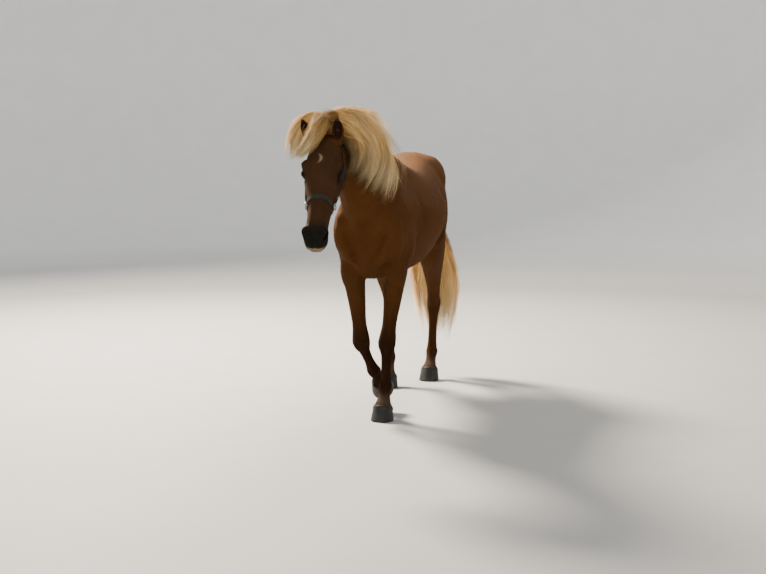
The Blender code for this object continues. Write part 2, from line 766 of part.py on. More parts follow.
def ear(name, root, reach):
    """An upright shell with its cup to the front and outside."""
    base = on_head(*root)
    axis = reach.normalized()
    across = Vector((1, math.copysign(EAR_TURN, root[2]), 0)).normalized()
    rows = []
    for share, half, depth in EAR_PROFILE:
        rows.append((*(base + reach * share), half, depth, depth))
    shell = tube(name, rows, 14, across, 1)
    across = (across - axis * across.dot(axis)).normalized()
    facing = across.cross(axis)
    facing = facing if facing.y < 0 else -facing
    turn = Matrix((across, facing, axis)).transposed().to_4x4()
    centre = base + reach * CUP_SHARE + facing * CUP_FORWARD
    cup = ball("cup", Matrix.Translation(centre) @ turn @ Matrix.Diagonal((*CUP_HALVES, 1)), (12, 8))
    return cut(shell, cup)


def neck_at(u):
    """The slice of the neck at a share of the way from the withers to the poll."""
    rows = np.array(NECK, float)
    rows = np.vstack([2 * rows[0] - rows[1], rows, 2 * rows[-1] - rows[-2]])
    place = min(max(u, 0), 0.9999) * (len(NECK) - 1)
    i, t = int(place), place - int(place)
    a, b, c, d = rows[i:i + 4]
    bend = (2 * a - 5 * b + 4 * c - d) * t**2 + (3 * b - a - 3 * c + d) * t**3
    x, cy, cz, ty, tz, high, middle, low = 0.5 * (2 * b + (c - a) * t + bend)
    return Vector((x, cy, cz)), Vector((x, ty, tz)), (high, middle, low)


def beside_neck(u, angle, lift):
    """A point off the neck: the angle runs from the crest down the left side."""
    crest, throat, widths = neck_at(u)
    down = (1 - math.cos(angle)) / 2
    across = math.copysign(abs(math.sin(angle)) ** 0.9, math.sin(angle)) * width_at(down, widths)
    up = (crest - throat).normalized()
    out = Vector((math.sin(angle), 0, 0)) + up * math.cos(angle)
    return crest.lerp(throat, down) + Vector((across, 0, 0)) + out * lift


def lock(name, points, width, thickness, faces):
    """A flat lock through the points, widest near its middle and tapered to a tip."""
    points = [Vector(p) for p in points]
    rings = []
    last = len(points) - 1
    for i, point in enumerate(points):
        direction = (points[min(i + 1, last)] - points[max(i - 1, 0)]).normalized()
        flat = (faces[i] - direction * faces[i].dot(direction)).normalized()
        side = direction.cross(flat)
        share = i / last
        taper = (0.55 + 0.45 * math.sin(math.pi * min(share * 0.9 + 0.1, 1))) * (1 - share**4) + 0.04
        half, deep = width * taper / 2, thickness * taper / 2
        rings.append([point - side * half, point - flat * deep, point + side * half, point + flat * deep])
    return loft(name, rings)


def mane():
    """A core along the crest and locks that arch over it and fall down the left side."""
    draw = random.Random(7)
    rings = []
    for step in range(MANE_CORE_RINGS):
        u = MANE_START + (MANE_END - MANE_START) * step / (MANE_CORE_RINGS - 1)
        fade = math.sin(math.pi * (0.04 + 0.92 * step / (MANE_CORE_RINGS - 1))) ** 0.4
        ring = [beside_neck(u, angle, -ROOT_DEPTH) for angle in MANE_CORE_INSIDE]
        ring += [beside_neck(u, angle, lift * fade) for angle, lift in MANE_CORE_OUTSIDE]
        rings.append(ring)
    core = loft("mane_core", rings)
    locks = []
    for i in range(MANE_LOCKS):
        share = min(max((i + draw.uniform(-0.4, 0.4)) / (MANE_LOCKS - 1), 0), 1)
        u = MANE_START + (MANE_END - MANE_START) * share
        longest, high, low = (float(np.interp(share, MANE_SHARES, row)) for row in MANE_SIZES)
        reach = longest * draw.uniform(0.80, 1.0)
        high *= draw.uniform(0.70, 1.05)
        low *= draw.uniform(0.55, 1.1)
        drift = draw.uniform(*MANE_DRIFT)
        points, faces = [], []
        for k in range(LOCK_STEPS + 1):
            t = k / LOCK_STEPS
            angle = reach * t
            rise = math.sin(math.pi / 2 * min(t / 0.5, 1))
            lift = -ROOT_DEPTH + (high + ROOT_DEPTH) * rise + (low - high) * max((t - 0.5) / 0.5, 0)
            here = u + drift * t * t
            points.append(beside_neck(here, angle, lift))
            faces.append((beside_neck(here, angle, lift + 0.01) - points[-1]).normalized())
        width, thickness = draw.uniform(*MANE_WIDTH), draw.uniform(*MANE_THICKNESS)
        locks.append(lock("mane_lock", points, width, thickness, faces))
    return fused("mane", core, locks)


def forelock():
    """Locks from between the ears that sweep over the forehead and behind the right ear."""
    draw = random.Random(11)
    locks = []
    middle = on_head(0.06, -0.08, -0.03)
    for i in range(FORELOCK_LOCKS):
        share = i / (FORELOCK_LOCKS - 1)
        stray = draw.uniform(-0.008, 0.008)
        points = []
        for k in range(LOCK_STEPS + 1):
            outer, inner = (Vector(row[k]) for row in (FORELOCK_OUTER, FORELOCK_INNER))
            spot = outer.lerp(inner, share) + Vector((stray * k / 2, stray, -stray * k / 3))
            points.append(on_head(*spot))
        faces = [(p - middle).normalized() for p in points]
        width, thickness = draw.uniform(*FORELOCK_WIDTH), draw.uniform(*FORELOCK_THICKNESS)
        locks.append(lock("forelock_lock", points, width, thickness, faces))
    place = Matrix.Translation(on_head(*FORELOCK_ROOT)) @ HEAD.to_4x4()
    core = ball("forelock_core", place @ Matrix.Diagonal((*FORELOCK_CORE, 1)), (12, 8))
    return fused("forelock", core, locks)


def tail():
    """A dock that hangs from the rump and long locks about it, swung to the left."""
    draw = random.Random(5)
    rows = []
    for spot, half, deep in zip(TAIL_LINE, TAIL_CORE_WIDTHS, TAIL_CORE_DEPTHS):
        rows.append((*spot, half, deep, deep))
    core = tube("tail_core", rows, 14, Vector((1, 0, 0)), 2)
    line = [Vector(p) for p in refined(TAIL_LINE)]
    locks = []
    for i in range(TAIL_LOCKS):
        turn = 2 * math.pi * (i * GOLDEN_TURN % 1)
        aside, behind = math.sin(turn), math.cos(turn)
        start, stop = draw.uniform(*TAIL_STARTS), draw.uniform(*TAIL_STOPS)
        spread = draw.uniform(*TAIL_SPREAD)
        points, faces = [], []
        for k in range(TAIL_STEPS + 1):
            t = k / TAIL_STEPS
            place = min((start + (stop - start) * t) * (len(line) - 1), len(line) - 1.001)
            at = line[int(place)].lerp(line[int(place) + 1], place % 1)
            rise = math.sin(math.pi / 2 * min(t / 0.6, 1)) * (1 - 0.35 * t**4)
            swell = ROOT_DEPTH + (spread - ROOT_DEPTH) * rise
            points.append(at + Vector((aside * swell, behind * swell * TAIL_FLATNESS, 0)))
            faces.append(Vector((aside * 0.5, behind, 0.05)))
        width, thickness = draw.uniform(*TAIL_WIDTH), draw.uniform(*TAIL_THICKNESS)
        locks.append(lock("tail_lock", points, width, thickness, faces))
    return fused("tail", core, locks)


def strap(name, guide, surface, closed=False):
    """A flat strap laid on a surface along a guide of points inside it and the ways out."""
    count = len(guide)
    laid = []
    for point, hint in guide:
        spot, normal, _, _ = surface.ray_cast(point + hint * STRAP_SEARCH, -hint)
        laid.append((spot, normal))
    rings = []
    for i, (spot, normal) in enumerate(laid):
        before = laid[(i - 1) % count][0] if closed else laid[max(i - 1, 0)][0]
        after = laid[(i + 1) % count][0] if closed else laid[min(i + 1, count - 1)][0]
        direction = (after - before).normalized()
        side = direction.cross(normal).normalized()
        edges = []
        for across in (-0.5, 0.5):
            target = spot + side * across * STRAP_WIDTH
            near, out, _, _ = surface.find_nearest(target)
            out = (out + normal).normalized()
            edges.append((near, out))
        (near_a, out_a), (near_b, out_b) = edges
        low, high = STRAP_CLEARANCE, STRAP_CLEARANCE + STRAP_THICKNESS
        ring = [near_a + out_a * low, near_b + out_b * low, near_b + out_b * high, near_a + out_a * high]
        rings.append(ring)
    bm = bmesh.new()
    rows = [[bm.verts.new(p) for p in ring] for ring in rings]
    pairs = list(zip(rows, rows[1:])) + ([(rows[-1], rows[0])] if closed else [])
    for row, following in pairs:
        for i in range(4):
            j = (i + 1) % 4
            bm.faces.new((row[i], row[j], following[j], following[i]))
    if not closed:
        bm.faces.new(rows[0])
        bm.faces.new(rows[-1])
    return finished(name, bm)


def head_loop(along_face, along_jaw, count):
    """A loop about the head, from the face round to the jaw and back, as points and hints."""
    guide = []
    for step in range(count):
        angle = 2 * math.pi * step / count
        share = (1 - math.cos(angle)) / 2
        along = along_face + (along_jaw - along_face) * share
        hint = HEAD @ Vector((0, math.cos(angle), math.sin(angle)))
        guide.append((on_head(along, -0.09, 0), hint.normalized()))
    return guide


def cheek_line(side):
    """The strap from the ring up the cheek to behind the ear, and over the poll to its middle."""
    guide = []
    for along, out, aside, up in refined(CHEEK_LINE, 2):
        hint = HEAD @ Vector((-0.25 * up, up, aside * side))
        guide.append((on_head(along, out, 0), hint.normalized()))
    return guide


def halter(surface, skin):
    """Noseband, cheek straps over the poll, throat strap: webbing sewn into one."""
    noseband = head_loop(NOSEBAND_ALONG, NOSEBAND_ALONG + NOSEBAND_DROP, 18)
    noseband = strap("halter", noseband, surface, True)
    cheeks = strap("cheeks", cheek_line(1) + cheek_line(-1)[::-1][1:], surface)
    throat = strap("throat", head_loop(THROAT_FROM, THROAT_TO, 20)[4:17], surface)
    webbing = cut(noseband, cheeks, "UNION", "MANIFOLD")
    webbing = cut(webbing, throat, "UNION", "MANIFOLD")
    return largest("halter", cleared(webbing, skin))


def ring(name, side, surface):
    """A steel ring that lies on the noseband where the cheek strap leaves it."""
    hint = HEAD @ Vector((0, 0.0, side))
    spot, normal, _, _ = surface.ray_cast(on_head(*RING_PLACE) + hint * STRAP_SEARCH, -hint)
    lift = STRAP_CLEARANCE + STRAP_THICKNESS + RING_WIRE + RING_CLEARANCE
    centre = spot + normal * lift
    along = (HEAD.col[0] - normal * HEAD.col[0].dot(normal)).normalized()
    across = normal.cross(along)
    rings = []
    for step in range(RING_STEPS):
        angle = 2 * math.pi * step / RING_STEPS
        out = along * math.cos(angle) + across * math.sin(angle)
        wire = []
        for turn in range(WIRE_SIDES):
            bend = 2 * math.pi * turn / WIRE_SIDES
            radius = RING_RADIUS + RING_WIRE * math.cos(bend)
            wire.append(centre + out * radius + normal * RING_WIRE * math.sin(bend))
        rings.append(wire)
    bm = bmesh.new()
    rows = [[bm.verts.new(p) for p in wire] for wire in rings]
    for row, following in zip(rows, rows[1:] + rows[:1]):
        for i in range(WIRE_SIDES):
            j = (i + 1) % WIRE_SIDES
            bm.faces.new((row[i], row[j], following[j], following[i]))
    return finished(name, bm)


def coloured(obj, kind):
    """The object with a plain material of its own."""
    material = bpy.data.materials.new(kind + "_" + obj.name)
    material.use_nodes = True
    shader = material.node_tree.nodes["Principled BSDF"]
    shader.inputs["Base Color"].default_value = (*COLOURS[kind], 1)
    shader.inputs["Roughness"].default_value = ROUGHNESS[kind]
    shader.inputs["Metallic"].default_value = 1.0 if kind == "steel" else 0.0
    obj.data.materials.clear()
    obj.data.materials.append(material)


def tree_of(obj):
    corners = [v.co.copy() for v in obj.data.vertices]
    return BVHTree.FromPolygons(corners, [p.vertices[:] for p in obj.data.polygons])


def centred(objects):
    """Moves all objects so that the origin lies under the middle of them."""
    corners = np.array([v.co[:2] for obj in objects for v in obj.data.vertices])
    middle = (corners.min(axis=0) + corners.max(axis=0)) / 2
    for obj in objects:
        obj.data.transform(Matrix.Translation((-middle[0], -middle[1], 0)))


def clear_scene():
    for obj in list(bpy.data.objects):
        bpy.data.objects.remove(obj)


def main():
    clear_scene()
    body = flesh()
    nodes = {}
    for name, (_, joints, pitch) in LEGS.items():
        cut(body, hoof_space("space", joints[3], pitch))
        nodes["hoof_" + name] = (hoof("hoof_" + name, joints[3], pitch), "horn")
    surface = tree_of(body)
    nodes["halter"] = (tidied(halter(surface, body)), "webbing")
    nodes["halter_ring_left"] = (ring("halter_ring_left", 1, surface), "steel")
    nodes["halter_ring_right"] = (ring("halter_ring_right", -1, surface), "steel")
    for side, word in ((1, "left"), (-1, "right")):
        cut(body, lids("lids", side), "UNION")
        cut(body, almond("almond", side))
        cut(body, nostril("nostril", side))
        centre = Matrix.Translation(on_head(EYE[0], EYE[1], EYE[2] * side))
        cut(body, ball("socket", centre @ Matrix.Scale(EYE_RADIUS + GAP, 4), (12, 7)))
        nodes["eye_" + word] = (ball("eye_" + word, centre @ Matrix.Scale(EYE_RADIUS, 4), (12, 7)), "eye")
    tidied(cut(body, mouth()))
    for name, (root, reach) in EARS.items():
        nodes[name] = (tidied(largest(name, cleared(ear(name, root, reach), body))), "coat")
    hair = {"tail": tail(), "mane": mane(), "forelock": forelock()}
    for name, locks in hair.items():
        cleared(locks, body)
        if name != "tail":
            for other in ("ear_left", "ear_right", "halter"):
                cleared(locks, nodes[other][0])
    cleared(hair["forelock"], tidied(hair["mane"]))
    for name, locks in hair.items():
        nodes[name] = (largest(name, locks), "hair")
    for centre, halves, tilt in CUTS:
        turn = Matrix.Rotation(math.radians(tilt), 3, "X")
        cut(body, box("parting", Vector(centre), halves, turn))
    pieces = parted(body)
    for name, seed in SEEDS.items():
        seed = Vector(seed)
        best = min(pieces, key=lambda p: (tree_of(p).find_nearest(seed)[3], p.name))
        nodes[name] = (best, "coat")
    named = [node for node, _ in nodes.values()]
    for piece in pieces:
        if piece not in named:
            bpy.data.objects.remove(piece)
    group = bpy.data.collections.new("icelandic_horse")
    bpy.context.scene.collection.children.link(group)
    centred([node for node, _ in nodes.values()])
    for name, (node, kind) in nodes.items():
        node = largest(name, tidied(node))
        coloured(node, kind)
        bpy.context.scene.collection.objects.unlink(node)
        group.objects.link(node)


main()
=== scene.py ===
"""The looks of a life-size Icelandic horse: one skin, a short chestnut coat and flaxen hair.

The shapes are worked out in the horse's own design frame, metres, +Z up, facing -Y with
its left side to +X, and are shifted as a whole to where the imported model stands.
"""

import math

import bmesh
import bpy
import numpy as np
from mathutils import Matrix, Vector
from mathutils.bvhtree import BVHTree


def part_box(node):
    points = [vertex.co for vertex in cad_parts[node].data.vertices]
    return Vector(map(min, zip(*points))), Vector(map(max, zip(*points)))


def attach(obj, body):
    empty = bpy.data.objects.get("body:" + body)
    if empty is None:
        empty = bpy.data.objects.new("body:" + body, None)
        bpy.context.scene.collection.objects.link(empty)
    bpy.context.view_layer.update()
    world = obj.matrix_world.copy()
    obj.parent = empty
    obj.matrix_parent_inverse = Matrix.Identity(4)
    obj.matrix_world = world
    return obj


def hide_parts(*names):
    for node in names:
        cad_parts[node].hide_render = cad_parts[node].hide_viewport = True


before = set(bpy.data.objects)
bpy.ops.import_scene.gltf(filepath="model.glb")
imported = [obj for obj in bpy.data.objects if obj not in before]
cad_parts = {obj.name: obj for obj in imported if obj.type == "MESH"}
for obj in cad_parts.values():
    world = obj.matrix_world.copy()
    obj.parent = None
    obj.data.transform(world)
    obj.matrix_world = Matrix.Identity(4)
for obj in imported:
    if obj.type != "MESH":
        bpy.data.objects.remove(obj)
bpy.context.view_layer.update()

# Breed measures
WITHERS_HEIGHT = 1.385
BACK_HEIGHT = 1.29
CROUP_HEIGHT = 1.36
BODY_LENGTH = 1.43
CHEST_HALF_WIDTH = 0.20
BARREL_HALF_WIDTH = 0.275
HIP_HALF_WIDTH = 0.225
HEAD_LENGTH = 0.57
CORONET_HEIGHT = 0.068

# How the head is carried
POLL = np.array((-0.085, -1.11, 1.455))
FACE_SLOPE = math.radians(56)
HEAD_TURN = math.radians(5)
HEAD_ROLL = math.radians(-2)

# Places on the trunk, along the horse
BREAST_Y = -BODY_LENGTH / 2
BUTTOCK_Y = BODY_LENGTH / 2
WITHERS_Y = -0.38

# The trunk from breast to buttock: y, top, bottom, and half widths high, in the middle and low
TRUNK = [
    (BREAST_Y + 0.015, 1.04, 0.88, 0.05, 0.06, 0.05),
    (BREAST_Y + 0.04, 1.11, 0.825, 0.11, 0.13, 0.09),
    (BREAST_Y + 0.10, 1.19, 0.76, 0.14, 0.175, 0.11),
    (-0.54, 1.29, 0.718, 0.135, CHEST_HALF_WIDTH, 0.15),
    (-0.45, 1.355, 0.715, 0.105, 0.205, 0.16),
    (WITHERS_Y, WITHERS_HEIGHT, 0.715, 0.095, 0.215, 0.17),
    (-0.28, 1.37, 0.71, 0.135, 0.235, 0.19),
    (-0.15, 1.32, 0.71, 0.20, 0.26, 0.22),
    (0.0, BACK_HEIGHT, 0.715, 0.24, BARREL_HALF_WIDTH, 0.24),
    (0.13, BACK_HEIGHT + 0.01, 0.73, 0.24, BARREL_HALF_WIDTH - 0.005, 0.235),
    (0.25, 1.325, 0.77, 0.225, 0.252, 0.20),
    (0.35, 1.35, 0.82, 0.21, HIP_HALF_WIDTH, 0.16),
    (0.45, CROUP_HEIGHT, 0.87, 0.19, 0.205, 0.13),
    (0.55, 1.33, 0.92, 0.155, 0.17, 0.11),
    (0.62, 1.285, 0.98, 0.11, 0.13, 0.09),
    (BUTTOCK_Y - 0.045, 1.225, 1.03, 0.06, 0.085, 0.06),
    (BUTTOCK_Y - 0.01, 1.16, 1.08, 0.025, 0.035, 0.025),
]

# The neck in slices: crest x, y and z, throat y and z, then half widths high, in the middle and low
NECK = [
    (0.00, -0.34, 1.35, -0.54, 0.88, 0.075, 0.17, 0.15),
    (0.00, -0.46, 1.375, -0.66, 0.93, 0.065, 0.155, 0.14),
    (-0.01, -0.58, 1.41, -0.745, 1.01, 0.055, 0.13, 0.12),
    (-0.025, -0.70, 1.45, -0.80, 1.09, 0.052, 0.108, 0.10),
    (-0.045, -0.82, 1.48, -0.855, 1.155, 0.050, 0.092, 0.085),
    (-0.065, -0.93, 1.485, -0.905, 1.21, 0.050, 0.084, 0.074),
    (-0.08, -1.02, 1.475, -0.945, 1.25, 0.048, 0.080, 0.066),
    (-0.085, -1.08, 1.455, -0.985, 1.27, 0.045, 0.072, 0.056),
]

# The head along its face line: distance from the poll, face, jaw, and half widths high, mid, low
SKULL = [
    (-0.02, -0.02, -0.15, 0.05, 0.065, 0.045),
    (0.03, 0.006, -0.20, 0.070, 0.078, 0.050),
    (0.09, 0.020, -0.245, 0.088, 0.084, 0.052),
    (0.15, 0.026, -0.262, 0.102, 0.087, 0.048),
    (0.21, 0.024, -0.252, 0.100, 0.083, 0.040),
    (0.27, 0.016, -0.228, 0.080, 0.076, 0.036),
    (0.33, 0.009, -0.198, 0.062, 0.066, 0.034),
    (0.39, 0.004, -0.168, 0.053, 0.057, 0.033),
    (0.45, 0.0, -0.146, 0.051, 0.053, 0.034),
    (0.50, -0.004, -0.134, 0.055, 0.058, 0.040),
    (0.54, -0.018, -0.127, 0.052, 0.056, 0.041),
    (HEAD_LENGTH, -0.050, -0.114, 0.032, 0.038, 0.030),
]

# Limb profiles: bone number, share along it, half width, reach in front, reach behind
FORELEG = [
    (0, -0.22, 0.070, 0.095, 0.105),
    (0, 0.00, 0.066, 0.085, 0.100),
    (0, 0.25, 0.058, 0.068, 0.070),
    (0, 0.50, 0.048, 0.054, 0.050),
    (0, 0.75, 0.040, 0.042, 0.041),
    (0, 0.90, 0.046, 0.043, 0.042),
    (1, 0.00, 0.050, 0.045, 0.046),
    (1, 0.14, 0.043, 0.037, 0.041),
    (1, 0.30, 0.031, 0.030, 0.037),
    (1, 0.60, 0.028, 0.028, 0.034),
    (1, 0.85, 0.031, 0.030, 0.037),
    (2, 0.00, 0.038, 0.035, 0.044),
    (2, 0.40, 0.033, 0.032, 0.036),
    (2, 0.75, 0.039, 0.038, 0.040),
    (2, 1.00, 0.047, 0.047, 0.047),
    (2, 1.25, 0.047, 0.047, 0.047),
]
HIND_LEG = [
    (0, -0.30, 0.085, 0.090, 0.17),
    (0, 0.00, 0.080, 0.085, 0.165),
    (0, 0.25, 0.067, 0.072, 0.120),
    (0, 0.50, 0.053, 0.055, 0.078),
    (0, 0.75, 0.041, 0.043, 0.056),
    (0, 0.90, 0.039, 0.044, 0.064),
    (1, 0.00, 0.044, 0.048, 0.062),
    (1, 0.14, 0.040, 0.042, 0.050),
    (1, 0.30, 0.031, 0.033, 0.040),
    (1, 0.60, 0.028, 0.030, 0.034),
    (1, 0.87, 0.031, 0.031, 0.037),
    (2, 0.00, 0.038, 0.035, 0.044),
    (2, 0.40, 0.033, 0.032, 0.036),
    (2, 0.75, 0.038, 0.037, 0.038),
    (2, 1.00, 0.046, 0.046, 0.045),
    (2, 1.25, 0.046, 0.046, 0.045),
]

# Each leg: profile, then elbow or stifle, knee or hock, fetlock and coronet, and the hoof's pitch
LEGS = {
    "foreleg_left": (
        FORELEG,
        [(0.115, -0.455, 0.80), (0.070, -0.49, 0.385), (0.066, -0.505, 0.17),
         (0.066, -0.562, CORONET_HEIGHT)],
        0,
    ),
    "foreleg_right": (
        FORELEG,
        [(-0.115, -0.475, 0.80), (-0.052, -0.545, 0.395), (-0.016, -0.425, 0.235), (0.010, -0.365, 0.165)],
        62,
    ),
    "hind_leg_left": (
        HIND_LEG,
        [(0.145, 0.37, 0.83), (0.100, 0.66, 0.47), (0.085, 0.685, 0.165), (0.082, 0.628, CORONET_HEIGHT)],
        0,
    ),
    "hind_leg_right": (
        HIND_LEG,
        [(-0.150, 0.29, 0.83), (-0.125, 0.50, 0.46), (-0.112, 0.405, 0.165), (-0.108, 0.348, CORONET_HEIGHT)],
        0,
    ),
}

# Muscles of the trunk: centre on the left side, half sizes, tilt about the side axis in degrees
MUSCLES = [
    ((0.088, -0.50, 1.06), (0.078, 0.14, 0.22), -28),
    ((0.105, -0.60, 0.95), (0.080, 0.085, 0.15), 20),
    ((0.125, -0.43, 0.91), (0.083, 0.15, 0.15), 25),
    ((0.070, -0.645, 0.90), (0.075, 0.050, 0.10), 0),
    ((0.118, -0.49, 0.77), (0.060, 0.080, 0.12), 0),
    ((0.090, 0.42, 1.19), (0.120, 0.20, 0.15), 12),
    ((0.106, 0.45, 1.00), (0.112, 0.18, 0.26), -18),
    ((0.138, 0.34, 0.86), (0.072, 0.09, 0.14), 20),
]

# The hamstring on the rump: x, y, z, half width, reach in front and behind
HAMSTRING = [
    (0.070, 0.575, 1.19, 0.060, 0.07, 0.07),
    (0.085, 0.615, 1.06, 0.078, 0.09, 0.080),
    (0.100, 0.605, 0.93, 0.080, 0.10, 0.070),
]

# Its end on the second thigh: share from stifle to hock, shift back and up, then sizes as above
HAMSTRING_END = [
    (0.28, 0.055, 0.03, 0.060, 0.06, 0.050),
    (0.55, 0.025, 0.01, 0.040, 0.035, 0.035),
]

# Forms of the head: along the face, out of it, to the side, then half sizes the same way
HEAD_FORMS = [
    ((0.172, -0.018, 0.072), (0.044, 0.026, 0.027)),
    ((0.115, -0.165, 0.050), (0.085, 0.082, 0.046)),
    ((0.255, -0.072, 0.066), (0.075, 0.014, 0.015)),
    ((0.512, -0.028, 0.038), (0.034, 0.028, 0.023)),
    ((0.520, -0.126, 0.010), (0.030, 0.018, 0.022)),
    ((0.555, -0.058, 0.012), (0.022, 0.034, 0.034)),
    ((0.018, -0.024, 0.058), (0.034, 0.028, 0.026)),
]


# The head's features, as along, out and side
EYE = (0.198, -0.040, 0.0765)
EYE_RADIUS = 0.0215
NOSTRIL = (0.527, -0.028, 0.048)
MOUTH_CORNER = (0.455, -0.098)
MOUTH_FRONT = (0.585, -0.094)

# Ears: root on the head, and the way the tip lies from it; then share, half width and depth
EARS = {
    "ear_left": ((0.030, -0.022, 0.062), (0.000, -0.022, 0.112)),
    "ear_right": ((0.030, -0.022, -0.066), (-0.038, -0.020, 0.103)),
}
EAR_PROFILE = [
    (-0.12, 0.020, 0.020),
    (0.0, 0.019, 0.019),
    (0.15, 0.023, 0.021),
    (0.40, 0.0285, 0.022),
    (0.65, 0.0245, 0.017),
    (0.85, 0.014, 0.010),
    (1.0, 0.003, 0.003),
]
EAR_TURN = 0.30
EAR_VOXEL = 0.0019
EAR_SMOOTHING = 5

# Fineness, depth and smoothing of the skin
VOXEL = 0.0042
SOFT_LENGTH = 0.0593
SKIN_TRIANGLES = 98000
RING_POINTS = 40
SKIN_DEPTH = 0.003
HEAD_DEPTH = 0.4
FINE_REACHES = (0.050, 0.036)
EAR_JOINT = 0.034
JOINT_SMOOTHING = 14
FIRM = 0.12
FLANK_HEIGHTS = (0.55, 0.80)

# How square a slice is, from 1 for an ellipse down, and a limb's widths high, in the middle and low
TRUNK_FULLNESS = 0.8
NECK_FULLNESS = 0.9
SKULL_FULLNESS = 0.7
TUBE_WIDTHS = (0.95, 1, 0.9)

SEED = 20


def mix(start, end, share):
    """The start brought toward the end by a share for each row."""
    return start + (np.asarray(end) - start) * share[..., None]


def pointing(vector, axis, sign=1):
    """The vector or its opposite, whichever runs up the axis, or down it for a sign of -1."""
    return vector if vector[axis] * sign > 0 else -vector


def slanted(p, q, angle):
    """Two coordinates in axes turned by the angle."""
    return p * math.cos(angle) + q * math.sin(angle), q * math.cos(angle) - p * math.sin(angle)


def read(items, attribute, width, kind=np.float32):
    """One attribute of all items of a mesh, a row for each."""
    found = np.empty(len(items) * width, kind)
    items.foreach_get(attribute, found)
    return found.reshape(-1, width)


def tree_of(mesh):
    """The faces of a mesh, ready to be searched."""
    return BVHTree.FromPolygons([v.co for v in mesh.vertices], [tuple(p.vertices) for p in mesh.polygons])


def round_angles(count):
    """Angles all the way round, in even steps."""
    return 2 * math.pi * np.arange(count) / count


def refined(rows, per_span=4):
    """The rows and the smooth steps between them, by a Catmull-Rom curve."""
    rows = np.array(rows, float)
    ends = np.vstack([2 * rows[0] - rows[1], rows, 2 * rows[-1] - rows[-2]])
    found = []
    for a, b, c, d in zip(ends, ends[1:], ends[2:], ends[3:]):
        for t in np.arange(per_span) / per_span:
            bend = (2 * a - 5 * b + 4 * c - d) * t**2 + (3 * b - a - 3 * c + d) * t**3
            found.append(0.5 * (2 * b + (c - a) * t + bend))
    return np.array(found + [rows[-1]])


def smooth_step(low, high, value):
    """From 0 at low to 1 at high, eased at both ends; low may be the greater one."""
    share = np.clip((value - low) / (high - low), 0, 1)
    return share * share * (3 - 2 * share)


def unit(vectors):
    return vectors / np.maximum(np.linalg.norm(vectors, axis=-1, keepdims=True), 1e-9)


def width_at(down, high, middle, low):
    """The half width at a share of the way down a slice, eased between its three widths."""
    upper = high + (middle - high) * smooth_step(0.12, 0.5, down)
    lower = middle + (low - middle) * smooth_step(0.5, 0.88, down)
    return np.where(down < 0.5, upper, lower)


def slice_ring(top, bottom, widths, side=(1, 0, 0), fullness=TRUNK_FULLNESS):
    """A closed ring between two points, as wide as the three widths high, in the middle and low."""
    angle = round_angles(RING_POINTS)
    down = (1 - np.cos(angle)) / 2
    out = np.sign(np.sin(angle)) * np.abs(np.sin(angle)) ** fullness * width_at(down, *widths)
    return mix(np.array(top), np.array(bottom), down) + np.array(side) * out[:, None]


def linked(name, mesh):
    obj = bpy.data.objects.new(name, mesh)
    bpy.context.scene.collection.objects.link(obj)
    return obj


def kept(name, bm, turned_out=True):
    """A new object that holds the bmesh, with its faces turned out unless told not to."""
    if turned_out:
        bmesh.ops.recalc_face_normals(bm, faces=bm.faces)
    mesh = bpy.data.meshes.new(name)
    bm.to_mesh(mesh)
    bm.free()
    return linked(name, mesh)


def band(bm, row, following):
    """The new faces between two closed rows of vertices."""
    corners = zip(row, row[1:] + row[:1], following[1:] + following[:1], following)
    return [bm.faces.new(each) for each in corners]


def loft(name, rings):
    """A closed skin through rings of equal length."""
    bm = bmesh.new()
    rows = [[bm.verts.new(p) for p in ring] for ring in rings]
    for row, following in zip(rows, rows[1:]):
        band(bm, row, following)
    bm.faces.new(rows[0])
    bm.faces.new(rows[-1])
    return kept(name, bm)


def applied(obj):
    """The object with its modifiers made part of its mesh."""
    graph = bpy.context.evaluated_depsgraph_get()
    mesh = bpy.data.meshes.new_from_object(obj.evaluated_get(graph))
    obj.modifiers.clear()
    obj.data = mesh
    return obj


def cut(target, tool, operation="DIFFERENCE", solver="EXACT"):
    """The target cut by, or joined with, a tool that is used up."""
    modifier = target.modifiers.new("cut", "BOOLEAN")
    modifier.operation = operation
    modifier.solver = solver
    modifier.object = tool
    applied(target)
    bpy.data.objects.remove(tool)
    return target


def head_frame():
    """The head's own axes from the poll: along the face, out of the face, and to the left."""
    turn = Matrix.Rotation(HEAD_TURN, 3, "Z")
    along = turn @ Vector((0, -math.cos(FACE_SLOPE), -math.sin(FACE_SLOPE)))
    roll = Matrix.Rotation(HEAD_ROLL, 3, along)
    out = roll @ turn @ Vector((0, -math.sin(FACE_SLOPE), math.cos(FACE_SLOPE)))
    side = roll @ turn @ Vector((1, 0, 0))
    return np.array([along, out, side]).T


HEAD = head_frame()


def on_head(along, out, side=0.0):
    """A place in the design frame from the head's own: along, out and side, numbers or arrays."""
    parts = np.stack(np.broadcast_arrays(along, out, side), axis=-1)
    return POLL + parts @ HEAD.T


def to_head(points):
    """Places in the head's own frame."""
    return (points - POLL) @ HEAD


def trunk():
    rings = []
    for y, top, bottom, *widths in refined(TRUNK):
        rings.append(slice_ring((0, y, top), (0, y, bottom), widths))
    return loft("trunk", rings)


def neck():
    rings = []
    for x, crest_y, crest_z, throat_y, throat_z, *widths in refined(NECK):
        crest, throat = (x, crest_y, crest_z), (x, throat_y, throat_z)
        rings.append(slice_ring(crest, throat, widths, fullness=NECK_FULLNESS))
    return loft("neck", rings)


def skull():
    rings = []
    for along, face, jaw, *widths in refined(SKULL):
        ring = slice_ring(on_head(along, face), on_head(along, jaw), widths, HEAD[:, 2], SKULL_FULLNESS)
        rings.append(ring)
    return loft("skull", rings)


